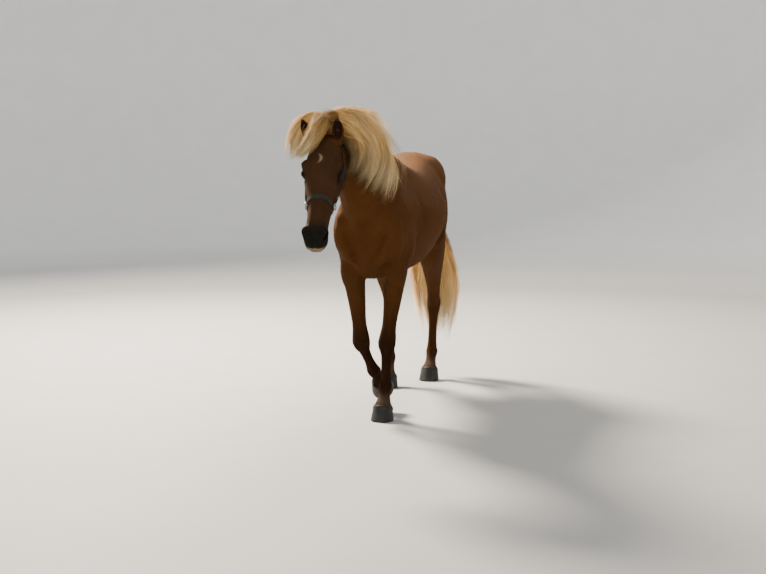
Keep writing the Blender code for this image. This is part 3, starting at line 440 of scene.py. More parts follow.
def tube(name, rows, across=(1.0, 0.0, 0.0), per_span=4):
    """A closed form along a line: rows of x, y, z, half width, reach in front and behind."""
    rows = refined(rows, per_span)
    rings = []
    for i, row in enumerate(rows):
        direction = unit(rows[min(i + 1, len(rows) - 1), :3] - rows[max(i - 1, 0), :3])
        side = unit(np.array(across) - direction * (np.array(across) @ direction))
        forward = np.cross(side, direction)
        half, front, back = row[3:6]
        top, bottom = row[:3] + forward * front, row[:3] - forward * back
        widths = [half * share for share in TUBE_WIDTHS]
        rings.append(slice_ring(top, bottom, widths, side, NECK_FULLNESS))
    return loft(name, rings)


def limb(name, profile, joints):
    """A leg along its bones."""
    joints = np.array(joints)
    rows = []
    for bone, share, *sizes in profile:
        rows.append((*(joints[bone] + (joints[bone + 1] - joints[bone]) * share), *sizes))
    return tube(name, rows)


def hamstring(name, joints, side):
    """The long muscle from the point of the buttock to the back of the second thigh."""
    stifle, hock = np.array(joints[0]), np.array(joints[1])
    rows = [(side * x, *rest) for x, *rest in HAMSTRING]
    for share, back, up, *sizes in HAMSTRING_END:
        rows.append((*(stifle + (hock - stifle) * share + np.array((0, back, up))), *sizes))
    return tube(name, rows)


def ball(name, matrix, segments=(32, 20)):
    """A unit ball placed, turned and stretched by the matrix."""
    bm = bmesh.new()
    bmesh.ops.create_uvsphere(bm, u_segments=segments[0], v_segments=segments[1], radius=1)
    bmesh.ops.transform(bm, matrix=matrix, verts=bm.verts)
    return kept(name, bm)


def muscle(centre, sizes, tilt, side):
    place = Matrix.Translation((centre[0] * side, centre[1], centre[2]))
    turn = Matrix.Rotation(math.radians(tilt), 4, "X")
    return ball("muscle", place @ turn @ Matrix.Diagonal((*sizes, 1)))


def head_form(centre, sizes, side):
    place = Matrix.Translation(on_head(centre[0], centre[1], centre[2] * side))
    return ball("form", place @ Matrix(HEAD.tolist()).to_4x4() @ Matrix.Diagonal((*sizes, 1)))


def coordinates(mesh):
    return read(mesh.vertices, "co", 3).astype(float)


def normals(mesh):
    return read(mesh.vertex_normals, "vector", 3).astype(float)


def set_coordinates(mesh, points):
    mesh.vertices.foreach_set("co", points.astype(np.float32).ravel())
    mesh.update()


def weighted(obj, name, weights):
    """A vertex group with a weight for each vertex, in steps of a hundredth."""
    group = obj.vertex_groups.new(name=name)
    steps = np.round(np.clip(weights, 0, 1) * 100).astype(int)
    for step in np.unique(steps):
        if step:
            group.add(np.nonzero(steps == step)[0].tolist(), step / 100, "REPLACE")
    return group.name


def fused(obj, voxel):
    """The object remade as one closed surface."""
    remesh = obj.modifiers.new("fuse", "REMESH")
    remesh.mode = "VOXEL"
    remesh.voxel_size = voxel
    return applied(obj)


def softness(points):
    """How far smoothing may melt the flesh together: fully on the trunk, little on head and feet."""
    legs = smooth_step(*FLANK_HEIGHTS, points[:, 2])
    return np.where(points[:, 1] < POLL[1] + 0.07, FIRM, FIRM + (1 - FIRM) * legs)


def smoothed(obj, weights, steps, name="soft"):
    modifier = obj.modifiers.new(name, "SMOOTH")
    modifier.factor = 0.5
    modifier.iterations = steps
    modifier.vertex_group = weighted(obj, name, weights)
    return applied(obj)


def raw_flesh():
    """The flesh as one closed surface: lofts and muscles fused and melted together."""
    pieces = [trunk(), neck(), skull()]
    for name, (profile, joints, _) in LEGS.items():
        pieces.append(limb(name, profile, joints))
    pieces.append(hamstring("hamstring_left", LEGS["hind_leg_left"][1], 1))
    pieces.append(hamstring("hamstring_right", LEGS["hind_leg_right"][1], -1))
    for side in (1, -1):
        pieces += [muscle(*row, side) for row in MUSCLES]
        pieces += [head_form(*row, side) for row in HEAD_FORMS]
    bm = bmesh.new()
    for piece in pieces:
        bm.from_mesh(piece.data)
        bpy.data.objects.remove(piece)
    body = kept("coat_skin", bm)
    fused(body, VOXEL)
    smoothed(body, softness(coordinates(body.data)), round((SOFT_LENGTH / VOXEL) ** 2))
    return body


def neck_rows(u):
    """The neck's slices at shares of the way from the withers to the poll, one column for each value."""
    table = refined(NECK, 8)
    place = np.clip(u, 0, 1) * (len(table) - 1)
    steps = np.arange(len(table))
    return [np.interp(place, steps, table[:, column]) for column in range(table.shape[1])]


def beside_neck(u, angle, lift):
    """Places off the neck: the angle runs from the crest down the left side."""
    u, angle, lift = np.broadcast_arrays(u, angle, lift)
    x, crest_y, crest_z, throat_y, throat_z, high, middle, low = neck_rows(u)
    crest = np.stack([x, crest_y, crest_z], axis=-1)
    throat = np.stack([x, throat_y, throat_z], axis=-1)
    down = (1 - np.cos(angle)) / 2
    bow = np.sign(np.sin(angle)) * np.abs(np.sin(angle)) ** NECK_FULLNESS
    up = unit(crest - throat)
    out = up * np.cos(angle)[..., None]
    out[..., 0] += np.sin(angle)
    found = mix(crest, throat, down) + out * lift[..., None]
    found[..., 0] += bow * width_at(down, high, middle, low)
    return found


def thinned(obj, triangles, weights):
    """The object with fewer triangles, first where the weights are high."""
    modifier = obj.modifiers.new("thin_out", "DECIMATE")
    modifier.ratio = triangles / sum(len(p.vertices) - 2 for p in obj.data.polygons)
    modifier.vertex_group = weighted(obj, "thin_out", weights)
    modifier.vertex_group_factor = 1.0
    return applied(obj)


def divided(obj, chosen):
    """The object with the faces between the chosen vertices split finer."""
    bm = bmesh.new()
    bm.from_mesh(obj.data)
    bm.verts.ensure_lookup_table()
    edges = [e for e in bm.edges if chosen[e.verts[0].index] and chosen[e.verts[1].index]]
    bmesh.ops.subdivide_edges(bm, edges=edges, cuts=1, use_grid_fill=True)
    bmesh.ops.triangulate(bm, faces=[f for f in bm.faces if len(f.verts) > 4])
    bm.to_mesh(obj.data)
    bm.free()
    return obj


def near_line(points, line):
    """The distance of each point from a line through some places."""
    line = np.array(line, float)
    best = np.full(len(points), FAR)
    for start, end in zip(line, line[1:]):
        way = end - start
        share = np.clip((points - start) @ way / (way @ way), 0, 1)
        best = np.minimum(best, np.linalg.norm(points - start - share[:, None] * way, axis=1))
    return best


def bell(distance, width):
    """1 in the middle, fading with the distance."""
    return np.exp(-((distance / width) ** 2))


def mouth_height(along):
    """How far out of the face the line of the mouth lies."""
    (a0, o0), (a1, o1) = MOUTH_CORNER, MOUTH_FRONT
    return o0 + (o1 - o0) * (along - a0) / (a1 - a0)


# Furrows of the trunk on the left side: depth, below 0 for a ridge, width and line
FURROWS = [
    (0.010, 0.016,
     [(0.075, -0.98, 1.275), (0.085, -0.86, 1.19), (0.10, -0.77, 1.09), (0.115, -0.70, 1.00)]),
    (0.006, 0.018, [(0.100, -0.50, 1.31), (0.135, -0.57, 1.17), (0.165, -0.655, 1.00)]),
    (0.008, 0.024, [(0.20, -0.31, 1.16), (0.215, -0.29, 0.98), (0.19, -0.33, 0.84), (0.16, -0.37, 0.78)]),
    (0.006, 0.018, [(0.165, -0.53, 1.09), (0.19, -0.52, 0.98), (0.18, -0.49, 0.88), (0.165, -0.50, 0.80)]),
    (0.012, 0.030, [(0.0, -0.72, 1.02), (0.0, -0.72, 0.90), (0.0, -0.68, 0.80)]),
    (0.016, 0.018,
     [(0.030, -0.645, 0.76), (0.050, -0.672, 0.84), (0.090, -0.680, 0.93), (0.130, -0.650, 1.00)]),
    (0.010, 0.030, [(0.235, 0.20, 1.18), (0.225, 0.23, 1.08), (0.20, 0.25, 0.96)]),
    (0.007, 0.018, [(0.195, 0.27, 0.98), (0.175, 0.25, 0.86)]),
    (0.007, 0.016, [(0.165, 0.50, 1.16), (0.185, 0.53, 1.03), (0.175, 0.56, 0.92), (0.150, 0.58, 0.80)]),
    (0.005, 0.016, [(0.0, 0.34, 1.37), (0.0, 0.50, 1.37), (0.0, 0.63, 1.29)]),
    (0.004, 0.014, [(0.0, -0.10, 1.32), (0.0, 0.05, 1.30), (0.0, 0.22, 1.33)]),
    (-0.007, 0.035, [(0.190, 0.27, 1.265), (0.205, 0.25, 1.225)]),
    (-0.006, 0.030, [(0.08, -0.47, 1.345), (0.07, -0.36, 1.385), (0.07, -0.26, 1.37)]),
    (-0.005, 0.010, [(0.200, -0.24, 0.86), (0.20, -0.10, 0.80), (0.19, 0.02, 0.775)]),
]
FURROW_HEIGHTS = (0.70, 0.80)

# Ribs: depth, pitch, lean, and how far they fade along the barrel and up from its middle
RIB_DEPTH = 0.0016
RIB_PITCH = 0.058
RIB_LEAN = 0.25
RIB_REACH = (0.20, 0.15)

# Tendon furrows along the cannons, in front of the tendon: bone shares from and to, depth and width
TENDON = (0.15, 0.92, 0.0035, 0.0075)
TENDON_BACK = 0.013
TENDON_ASIDE = 0.026

# Hollows of the head: centre as along, out and side, radius, depth
HEAD_HOLLOWS = [
    ((0.125, -0.010, 0.072), 0.018, 0.006),
    ((0.245, -0.045, 0.078), 0.024, 0.004),
    ((0.330, -0.075, 0.058), 0.030, 0.005),
    ((0.400, -0.040, 0.050), 0.030, 0.0035),
    ((0.480, -0.075, 0.052), 0.022, 0.003),
    ((0.455, -0.098, 0.048), 0.012, 0.003),
    ((0.060, -0.110, 0.085), 0.030, 0.005),
]

# The facial crest and the vein below it: depth, below 0 where it stands out, width and line
HEAD_RIDGES = [
    (-0.0045, 0.008, [(0.215, -0.080, 0.080), (0.27, -0.085, 0.071), (0.315, -0.088, 0.062)]),
    (-0.0022, 0.0045,
     [(0.30, -0.060, 0.066), (0.33, -0.078, 0.060), (0.345, -0.110, 0.055), (0.34, -0.15, 0.045)]),
]

# Furrows under the chin, down the upper lip and between the nostrils: depth, width and line
MUZZLE_FURROWS = [
    (0.0030, 0.010, [(0.47, -0.135, 0.0), (0.47, -0.12, 0.04)]),
    (0.0022, 0.005, [(0.575, -0.030, 0.0), (0.575, -0.075, 0.0)]),
    (0.0020, 0.012, [(0.49, 0.0, 0.0), (0.56, -0.02, 0.0)]),
]

# The pad of the chin across the head: along, out, radius and height
CHIN_PAD = (0.535, -0.120, 0.014, 0.0030)

# The mouth: depth and width of its line, then rise, distance and width of the upper and lower lip
MOUTH_DEPTH = 0.0058
MOUTH_WIDTH = 0.0022
LIP_RISE = 0.0026
LIP_DISTANCE = 0.009
UPPER_LIP = 0.0065
LOWER_LIP = 0.006

# A nostril: half sizes, how they grow forward, the bend of its comma, depth, and height of its rim
NOSTRIL_LENGTH = 0.0215
NOSTRIL_HEIGHT = 0.0105
NOSTRIL_GROWTH = 0.16
NOSTRIL_REACH = (-0.012, 0.02)
NOSTRIL_BEND = 6.0
NOSTRIL_DEPTH = 0.021
NOSTRIL_RIM = 0.0035
NOSTRIL_INWARD = (-0.55, -0.20, -0.80)
NOSTRIL_AXIS = unit(np.array((0.50, 0.10, 0.86)))
NOSTRIL_SLANT = math.radians(-32)

# A distance or ratio beyond all others
FAR = 9.0

# The eye's opening: slant, half lengths to nose and ear, half heights of the upper and lower lid
LID_SLANT = math.radians(-14)
LID_FRONT = 0.0225
LID_BACK = 0.0195
LID_UPPER = 0.0128
LID_LOWER = 0.0105
LID_THICKNESS = 0.0026
LID_SHAPE = 1.7
LID_REACH = 0.055
EYE_SUNK = 0.005

# Folds round the eye: rise, place as a share of the way to the lid's edge, and width
UPPER_FOLD = (-0.0022, 1.75, 0.16)
LOWER_FOLD = (-0.0016, 1.7, 0.15)
BROW = (0.0045, 2.3, 0.45)
LID_END = (1.35, 2.3)
EYE_AXIS = unit(np.array((0.04, 0.26, 1.0)))


def eye_places(local):
    """For places mirrored to the left: share of the way to the lid's edge, height, and way from the eye."""
    away = local - np.array(EYE)
    length = unit(np.array((1.0, 0.0, 0.0)) - EYE_AXIS * EYE_AXIS[0])
    height = pointing(np.cross(EYE_AXIS, length), 1)
    p, q = slanted(away @ length, away @ height, LID_SLANT)
    half_length = np.where(p > 0, LID_FRONT, LID_BACK)
    half_height = np.where(q > 0, LID_UPPER, LID_LOWER)
    return np.sqrt((p / half_length) ** 2 + np.abs(q / half_height) ** LID_SHAPE), q, away


def mirrored(points):
    """Places in the head's frame with both sides laid on the left one, and each one's side."""
    local = to_head(points)
    side = np.where(local[:, 2] < 0, -1.0, 1.0)
    local[:, 2] = np.abs(local[:, 2])
    return local, side


def from_mirrored(local, side):
    local = local.copy()
    local[:, 2] *= side
    return on_head(local[:, 0], local[:, 1], local[:, 2])


def fold(ratio, rise, place, width):
    """The rise of a fold round the eye."""
    return rise * bell(ratio - place, width)


def shape_eyes(points, head):
    """Lids laid round the eyeball, open in an almond, with a fold above."""
    local, side = mirrored(points)
    ratio, q, away = eye_places(local)
    near = head & (np.linalg.norm(away, axis=1) < LID_REACH) & (away @ EYE_AXIS > -0.004)
    way = unit(away)
    lid = np.array(EYE) + way * (EYE_RADIUS + LID_THICKNESS)
    hidden = np.array(EYE) + way * (EYE_RADIUS - EYE_SUNK)
    folds = fold(ratio, *UPPER_FOLD) * (q > 0) + fold(ratio, *LOWER_FOLD) * (q <= 0)
    brow = fold(ratio, *BROW) * (q > 0.004)
    ease = smooth_step(*LID_END, ratio)
    outside = lid * (1 - ease[:, None]) + local * ease[:, None] + way * (folds + brow)[:, None]
    shaped = np.where((ratio < 1)[:, None], hidden, outside)
    local = np.where(near[:, None], shaped, local)
    return np.where(near[:, None], from_mirrored(local, side), points)


def nostril_ratio(local):
    """The share of the way from a nostril's middle to its rim, for places mirrored to the left side."""
    away = local - np.array(NOSTRIL)
    high = unit(np.array((0.0, 1.0, 0.0)) - NOSTRIL_AXIS * NOSTRIL_AXIS[1])
    ahead = pointing(np.cross(high, NOSTRIL_AXIS), 0)
    p, q = slanted(away @ ahead, away @ high, NOSTRIL_SLANT)
    height = NOSTRIL_HEIGHT + NOSTRIL_GROWTH * np.clip(p, *NOSTRIL_REACH)
    ratio = np.sqrt((p / NOSTRIL_LENGTH) ** 2 + ((q - NOSTRIL_BEND * p**2) / height) ** 2)
    return np.where(away @ NOSTRIL_AXIS > -0.024, ratio, FAR)


def shape_muzzle(points, ways, head):
    """Nostrils with their rims, the line of the mouth, the lips and the chin."""
    local, side = mirrored(points)
    along, out, across = local.T
    push = np.zeros(len(points))
    ratio = nostril_ratio(local)
    facing = smooth_step(0.008, 0.020, across) * smooth_step(0.46, 0.48, along)
    pit = facing * NOSTRIL_DEPTH * (1 - smooth_step(0.35, 1.0, ratio))
    push += facing * NOSTRIL_RIM * bell(ratio - 1.35, 0.28)
    drop = out - mouth_height(along)
    mouth = smooth_step(MOUTH_CORNER[0] - 0.006, MOUTH_CORNER[0] + 0.014, along)
    push -= mouth * MOUTH_DEPTH * bell(drop, MOUTH_WIDTH)
    lips = bell(drop - LIP_DISTANCE, UPPER_LIP) + bell(drop + LIP_DISTANCE, LOWER_LIP)
    push += mouth * LIP_RISE * lips
    chin_along, chin_out, radius, height = CHIN_PAD
    push += height * bell(np.hypot(along - chin_along, out - chin_out), radius)
    for depth, width, line in MUZZLE_FURROWS:
        push -= depth * bell(near_line(local, line), width)
    for centre, radius, depth in HEAD_HOLLOWS:
        push -= depth * bell(np.linalg.norm(local - np.array(centre), axis=1), radius)
    for depth, width, line in HEAD_RIDGES:
        push -= depth * bell(near_line(local, line), width)
    inward = np.tile(NOSTRIL_INWARD, (len(points), 1))
    inward[:, 2] *= side
    moved = points + ways * push[:, None] + unit(inward @ HEAD.T) * pit[:, None]
    return np.where(head[:, None], moved, points)


def left_side(points):
    """Places mirrored to the left side of the design frame."""
    return np.abs(points) * (1, 0, 0) + points * (0, 1, 1)


def shape_body(points, ways):
    """Furrows between the muscles, faint ribs and the tendons of the legs."""
    _, y, z = points.T
    left = left_side(points)
    push = np.zeros(len(points))
    trunk_part = smooth_step(*FURROW_HEIGHTS, z)
    for depth, width, line in FURROWS:
        push -= depth * bell(near_line(left, line), width) * trunk_part
    barrel = bell(y, RIB_REACH[0]) * bell(z - 1.0, RIB_REACH[1]) * smooth_step(0.18, 0.22, left[:, 0])
    push += RIB_DEPTH * np.sin(2 * math.pi * (y - RIB_LEAN * (z - 1.0)) / RIB_PITCH) * barrel
    start, end, depth, width = TENDON
    for _, joints, _ in LEGS.values():
        upper, lower = np.array(joints[1]), np.array(joints[2])
        back = pointing(unit(np.cross(unit(lower - upper), (1.0, 0.0, 0.0))), 1)
        for side in (1, -1):
            line = [upper + (lower - upper) * share + back * TENDON_BACK for share in (start, end)]
            line = np.array(line) + (side * TENDON_ASIDE, 0, 0)
            push -= depth * bell(near_line(points, line), width)
    return points + ways * push[:, None]


# The cup of an ear: place along the ear, shift forward, and half sizes across, forward and up
CUP_SHARE = 0.56
CUP_FORWARD = 0.016
CUP_HALVES = (0.0200, 0.0275, 0.046)


def ear_across(name):
    """An ear's root and reach, and its way across."""
    root, reach = (np.array(part) for part in EARS[name])
    return root, reach, unit(np.array((1.0, math.copysign(EAR_TURN, root[2]), 0.0)))


def ear_cup(name):
    """The middle of an ear's cup, and its axes across, forward and up as columns."""
    root, reach, across = ear_across(name)
    axis = unit(reach)
    across = unit(across - axis * (across @ axis))
    facing = pointing(np.cross(across, axis), 1, -1)
    return on_head(*root) + reach * CUP_SHARE + facing * CUP_FORWARD, np.array([across, facing, axis]).T


def ear(name):
    """An upright shell with its cup to the front and outside."""
    root, reach, across = ear_across(name)
    base = on_head(*root)
    rows = [(*(base + reach * share), half, depth, depth) for share, half, depth in EAR_PROFILE]
    shell = tube(name, rows, across, 6)
    centre, turn = ear_cup(name)
    place = Matrix.Translation(centre) @ Matrix(turn.tolist()).to_4x4()
    cup = ball("cup", place @ Matrix.Diagonal((*CUP_HALVES, 1)), (40, 28))
    cut(shell, cup, solver="MANIFOLD")
    fused(shell, EAR_VOXEL)
    smoothed(shell, np.ones(len(shell.data.vertices)), EAR_SMOOTHING)
    return shell


def skin():
    """The whole skin in one surface, ears and all, a coat's depth inside the solids."""
    body = raw_flesh()
    points = coordinates(body.data)
    head_part = points[:, 1] < POLL[1] + 0.10
    thinned(body, SKIN_TRIANGLES, np.where(head_part, 0.0, 1.0))
    for reach in FINE_REACHES:
        local, _ = mirrored(coordinates(body.data))
        eye = np.linalg.norm(local - np.array(EYE), axis=1) < reach
        nose = np.linalg.norm(local - np.array(NOSTRIL), axis=1) < reach * 0.8
        lips = np.abs(local[:, 1] - mouth_height(local[:, 0])) < reach * 0.4
        divided(body, eye | nose | lips & (local[:, 0] > MOUTH_CORNER[0] - 0.02))
    body.data.update()
    for name in EARS:
        cut(body, ear(name), "UNION", "MANIFOLD")
    points = coordinates(body.data)
    roots = [np.linalg.norm(points - on_head(*root), axis=1) for root, _ in EARS.values()]
    joint = np.clip(np.minimum(*roots) / EAR_JOINT, 0, 1)
    smoothed(body, 1 - smooth_step(0.6, 1.0, joint), JOINT_SMOOTHING, "ear_joint")
    points, ways = coordinates(body.data), normals(body.data)
    head = points[:, 1] < POLL[1] + 0.05
    depth = np.where(head, HEAD_DEPTH, 1.0) * SKIN_DEPTH
    local, _ = mirrored(points)
    ears = (local[:, 0] < 0.07) & (local[:, 1] > 0.012) & (local[:, 2] > 0.03)
    depth = np.where(ears, 0.0, depth)
    points = points - ways * depth[:, None]
    points = shape_body(points, ways)
    points = shape_muzzle(points, ways, head)
    points = shape_eyes(points, head)
    set_coordinates(body.data, points)
    for _, joints, pitch in LEGS.values():
        cut(body, hoof_space(joints[3], pitch), solver="MANIFOLD")
    body.data.shade_smooth()
    return body


# Hooves: share of the way down, inset and lift of each ring, from inside the band to inside the sole
HOOF_RINGS = (
    [(0.06, 0.016, 0.0), (0.0, 0.008, 0.002), (0.0, 0.001, 0.0012), (0.03, -0.0012, 0.0), (0.09, 0.0, 0.0)]
    + [(share, 0.0, 0.0) for share in np.linspace(0.12, 0.94, 30)]
    + [(0.985, 0.0012, 0.0), (1.0, 0.004, 0.0), (1.0, 0.011, 0.0), (1.0, 0.014, 0.004), (1.0, 0.040, 0.009)]
)
HOOF_POINTS = 56
HOOF_RIDGE = 0.00022
RIDGE_WAVES = 46
HEEL_FROM = -0.35
BAND_TONE = (1.0, 0.46, 0.24)
HOOF_SPACE = (0.075, 0.10, 0.06)
CORONET_SIZE = (0.050, 0.049)
SOLE_SIZE = (0.062, 0.059)
SOLE_SHIFT = 0.020
EDGE_SHARE = 0.94
HEEL_LENGTH = 0.86
CORONET_TILT = math.radians(16)


def hoof_frame(coronet, pitch):
    """A hoof's place on the sole under the coronet, and its axes side, forward and up as columns."""
    turn = np.array(Matrix.Rotation(math.radians(pitch), 3, "X"))
    axes = turn @ np.array(((1, 0, 0), (0, -1, 0), (0, 0, 1)), float)
    return np.array(coronet) - axes[:, 2] * CORONET_HEIGHT, axes


def hoof_space(coronet, pitch):
    """The block that ends the skin at the coronet, level with the top of the hoof."""
    origin, axes = hoof_frame(coronet, pitch)
    turn = axes @ np.array(Matrix.Rotation(CORONET_TILT, 3, "X"))
    centre = origin + axes[:, 2] * (CORONET_HEIGHT - 0.004) - turn[:, 2] * HOOF_SPACE[2]
    bm = bmesh.new()
    bmesh.ops.create_cube(bm, size=2)
    place = Matrix.Translation(centre) @ Matrix(turn.tolist()).to_4x4() @ Matrix.Diagonal((*HOOF_SPACE, 1))
    bmesh.ops.transform(bm, matrix=place, verts=bm.verts)
    return kept("hoof_space", bm)


def hoof(name, coronet, pitch):
    """A horn hoof: coronary band, wall with faint growth rings, rounded edge and a hollow sole."""
    origin, axes = hoof_frame(coronet, pitch)
    angle = round_angles(HOOF_POINTS)
    ahead = np.cos(angle)
    ahead = np.where(ahead < HEEL_FROM, HEEL_FROM + (ahead - HEEL_FROM) * HEEL_LENGTH, ahead)
    top = CORONET_HEIGHT + math.tan(CORONET_TILT) * np.cos(angle) * CORONET_SIZE[0]
    rings = []
    for share, inset, drop in HOOF_RINGS:
        grow = min(share / EDGE_SHARE, 1)
        ridge = HOOF_RIDGE * math.sin(share * RIDGE_WAVES) * (0.1 < share < 0.9)
        length = CORONET_SIZE[0] + (SOLE_SIZE[0] - CORONET_SIZE[0]) * grow - inset + ridge
        width = CORONET_SIZE[1] + (SOLE_SIZE[1] - CORONET_SIZE[1]) * grow - inset + ridge
        height = top * (1 - share) + drop
        place = np.stack([np.sin(angle) * width, ahead * length + SOLE_SHIFT * grow, height], axis=1)
        rings.append(origin + place @ axes.T)
    obj = loft(name, rings)
    shares = np.repeat([share for share, _, _ in HOOF_RINGS], HOOF_POINTS)
    wall = smooth_step(0.03, 0.12, shares)[:, None]
    wall[:HOOF_POINTS] = 0
    painted(obj.data, np.array(BAND_TONE) * (1 - wall) + wall)
    return obj


# Halter, metres; the cheek line's rows are along, out, then the ways to look for the skin: aside and up
STRAP_WIDTH = 0.022
STRAP_THICKNESS = 0.0028
STRAP_CLEARANCE = 0.0020
STRAP_SEARCH = 0.2
STRAP_SUNK = 0.004
STRAP_EASING = 3
NOSEBAND_ALONG = 0.345
NOSEBAND_DROP = 0.015
LOOP_MIDDLE = -0.09
THROAT_FROM = 0.02
THROAT_TO = 0.16
THROAT_PART = slice(28, 93)
CHEEK_LINE = [
    (NOSEBAND_ALONG + 0.004, -0.085, 1.0, 0.0),
    (0.24, -0.112, 1.0, 0.0),
    (0.13, -0.118, 1.0, 0.0),
    (0.04, -0.090, 1.0, 0.15),
    (-0.020, -0.06, 0.75, 0.65),
    (-0.045, -0.055, 0.02, 1.0),
]
RING_PLACE = (NOSEBAND_ALONG - 0.002, -0.085)
RING_CLEARANCE = 0.0025
RING_RADIUS = 0.015
RING_WIRE = 0.0028

# A strap's section: place across as a share of the half width, and height as a share of its thickness
STRAP_SECTION = [
    (-0.94, 0.0), (0.0, 0.0), (0.94, 0.0), (1.0, 0.5), (0.95, 0.96), (0.86, 1.0), (0.5, 1.03),
    (0.0, 1.05), (-0.5, 1.03), (-0.86, 1.0), (-0.95, 0.96), (-1.0, 0.5),
]


def spot_on(surface, point, hint):
    """Where a line from outside meets the surface on its way to the point inside, and the normal there."""
    spot, normal, _, _ = surface.ray_cast(Vector(point + hint * STRAP_SEARCH), Vector(-hint))
    return np.array(spot), np.array(normal)


def strap(name, guide, surface, closed=False):
    """A flat woven strap laid on a surface along a guide of points inside it and the ways out."""
    laid, outward = (np.array(part) for part in zip(*(spot_on(surface, *row) for row in guide)))
    for _ in range(STRAP_EASING):
        before, after = np.roll(laid, 1, 0), np.roll(laid, -1, 0)
        eased = laid * 0.5 + (before + after) * 0.25
        ways = outward * 0.5 + (np.roll(outward, 1, 0) + np.roll(outward, -1, 0)) * 0.25
        if not closed:
            eased[[0, -1]] = laid[[0, -1]]
            ways[[0, -1]] = outward[[0, -1]]
        lift = np.maximum(((laid - eased) * outward).sum(1), 0)
        laid, outward = eased + outward * lift[:, None], unit(ways)
    after, before = np.roll(laid, -1, 0), np.roll(laid, 1, 0)
    if not closed:
        after[-1], before[0] = laid[-1], laid[0]
    direction = unit(after - before)
    side = unit(np.cross(direction, outward))
    rings = []
    for spot, way, across in zip(laid, outward, side):
        ring = []
        for share, height in STRAP_SECTION:
            target = spot + across * share * STRAP_WIDTH / 2
            near, _, _, _ = surface.find_nearest(Vector(target))
            sunk = max((np.array(near) - target) @ way, -STRAP_SUNK)
            ring.append(target + way * (sunk + STRAP_CLEARANCE + height * STRAP_THICKNESS))
        rings.append(ring)
    bm = bmesh.new()
    layer = bm.loops.layers.uv.new("weave")
    rows = [[bm.verts.new(p) for p in ring] for ring in rings]
    pairs = list(zip(rows, rows[1:])) + ([(rows[-1], rows[0])] if closed else [])
    length = 0.0
    for row, following in pairs:
        reach = (following[1].co - row[1].co).length
        for i, face in enumerate(band(bm, row, following)):
            for loop, (corner, on) in zip(face.loops, ((i, 0), (i + 1, 0), (i + 1, reach), (i, reach))):
                share = STRAP_SECTION[corner % len(STRAP_SECTION)][0]
                loop[layer].uv = (length + on, share * STRAP_WIDTH / 2)
        length += reach
    if not closed:
        bm.faces.new(rows[0])
        bm.faces.new(rows[-1])
    return kept(name, bm)


def head_loop(along_face, along_jaw, count):
    """A loop about the head, from the face round to the jaw and back, as points and ways out."""
    guide = []
    for angle in round_angles(count):
        share = (1 - math.cos(angle)) / 2
        along = along_face + (along_jaw - along_face) * share
        hint = HEAD @ np.array((0, math.cos(angle), math.sin(angle)))
        guide.append((on_head(along, LOOP_MIDDLE, 0), hint))
    return guide


def cheek_line(side):
    """The strap from the ring up the cheek to behind the ear, and over the poll to its middle."""
    guide = []
    for along, out, aside, up in refined(CHEEK_LINE, 10):
        guide.append((on_head(along, out, 0), unit(HEAD @ np.array((-0.25 * up, up, aside * side)))))
    return guide


def halter(surface):
    """Noseband, cheek straps over the poll and throat strap of woven webbing."""
    pieces = [
        strap("noseband", head_loop(NOSEBAND_ALONG, NOSEBAND_ALONG + NOSEBAND_DROP, 96), surface, True),
        strap("cheeks", cheek_line(1) + cheek_line(-1)[::-1][1:], surface),
        strap("throat", head_loop(THROAT_FROM, THROAT_TO, 120)[THROAT_PART], surface),
    ]
    bm = bmesh.new()
    for piece in pieces:
        bm.from_mesh(piece.data)
        bpy.data.objects.remove(piece)
    obj = kept("halter_straps", bm, False)
    obj.data.shade_smooth()
    return obj


def halter_ring(name, side, surface):
    """A steel ring that lies on the noseband where the cheek strap leaves it."""
    hint = HEAD[:, 2] * side
    spot, normal = spot_on(surface, on_head(*RING_PLACE), hint)
    centre = spot + normal * (STRAP_CLEARANCE + STRAP_THICKNESS + RING_WIRE + RING_CLEARANCE)
    along = unit(HEAD[:, 0] - normal * (HEAD[:, 0] @ normal))
    across = np.cross(normal, along)
    bm = bmesh.new()
    rows = []
    for angle in round_angles(48):
        out = along * math.cos(angle) + across * math.sin(angle)
        rows.append([])
        for bend in round_angles(14):
            reach = RING_RADIUS + RING_WIRE * math.cos(bend)
            rows[-1].append(bm.verts.new(centre + out * reach + normal * RING_WIRE * math.sin(bend)))
    for row, following in zip(rows, rows[1:] + rows[:1]):
        band(bm, row, following)
    obj = kept(name, bm)
    obj.data.shade_smooth()
    return obj


# The eye's colours, and the pupil's half sizes along the head and upright
PUPIL_SIZE = (0.0078, 0.0042)
EYE_BULGE = 0.035
SCLERA = (0.016, 0.009, 0.006)
IRIS = (0.015, 0.0065, 0.003)
PUPIL = 0.0008


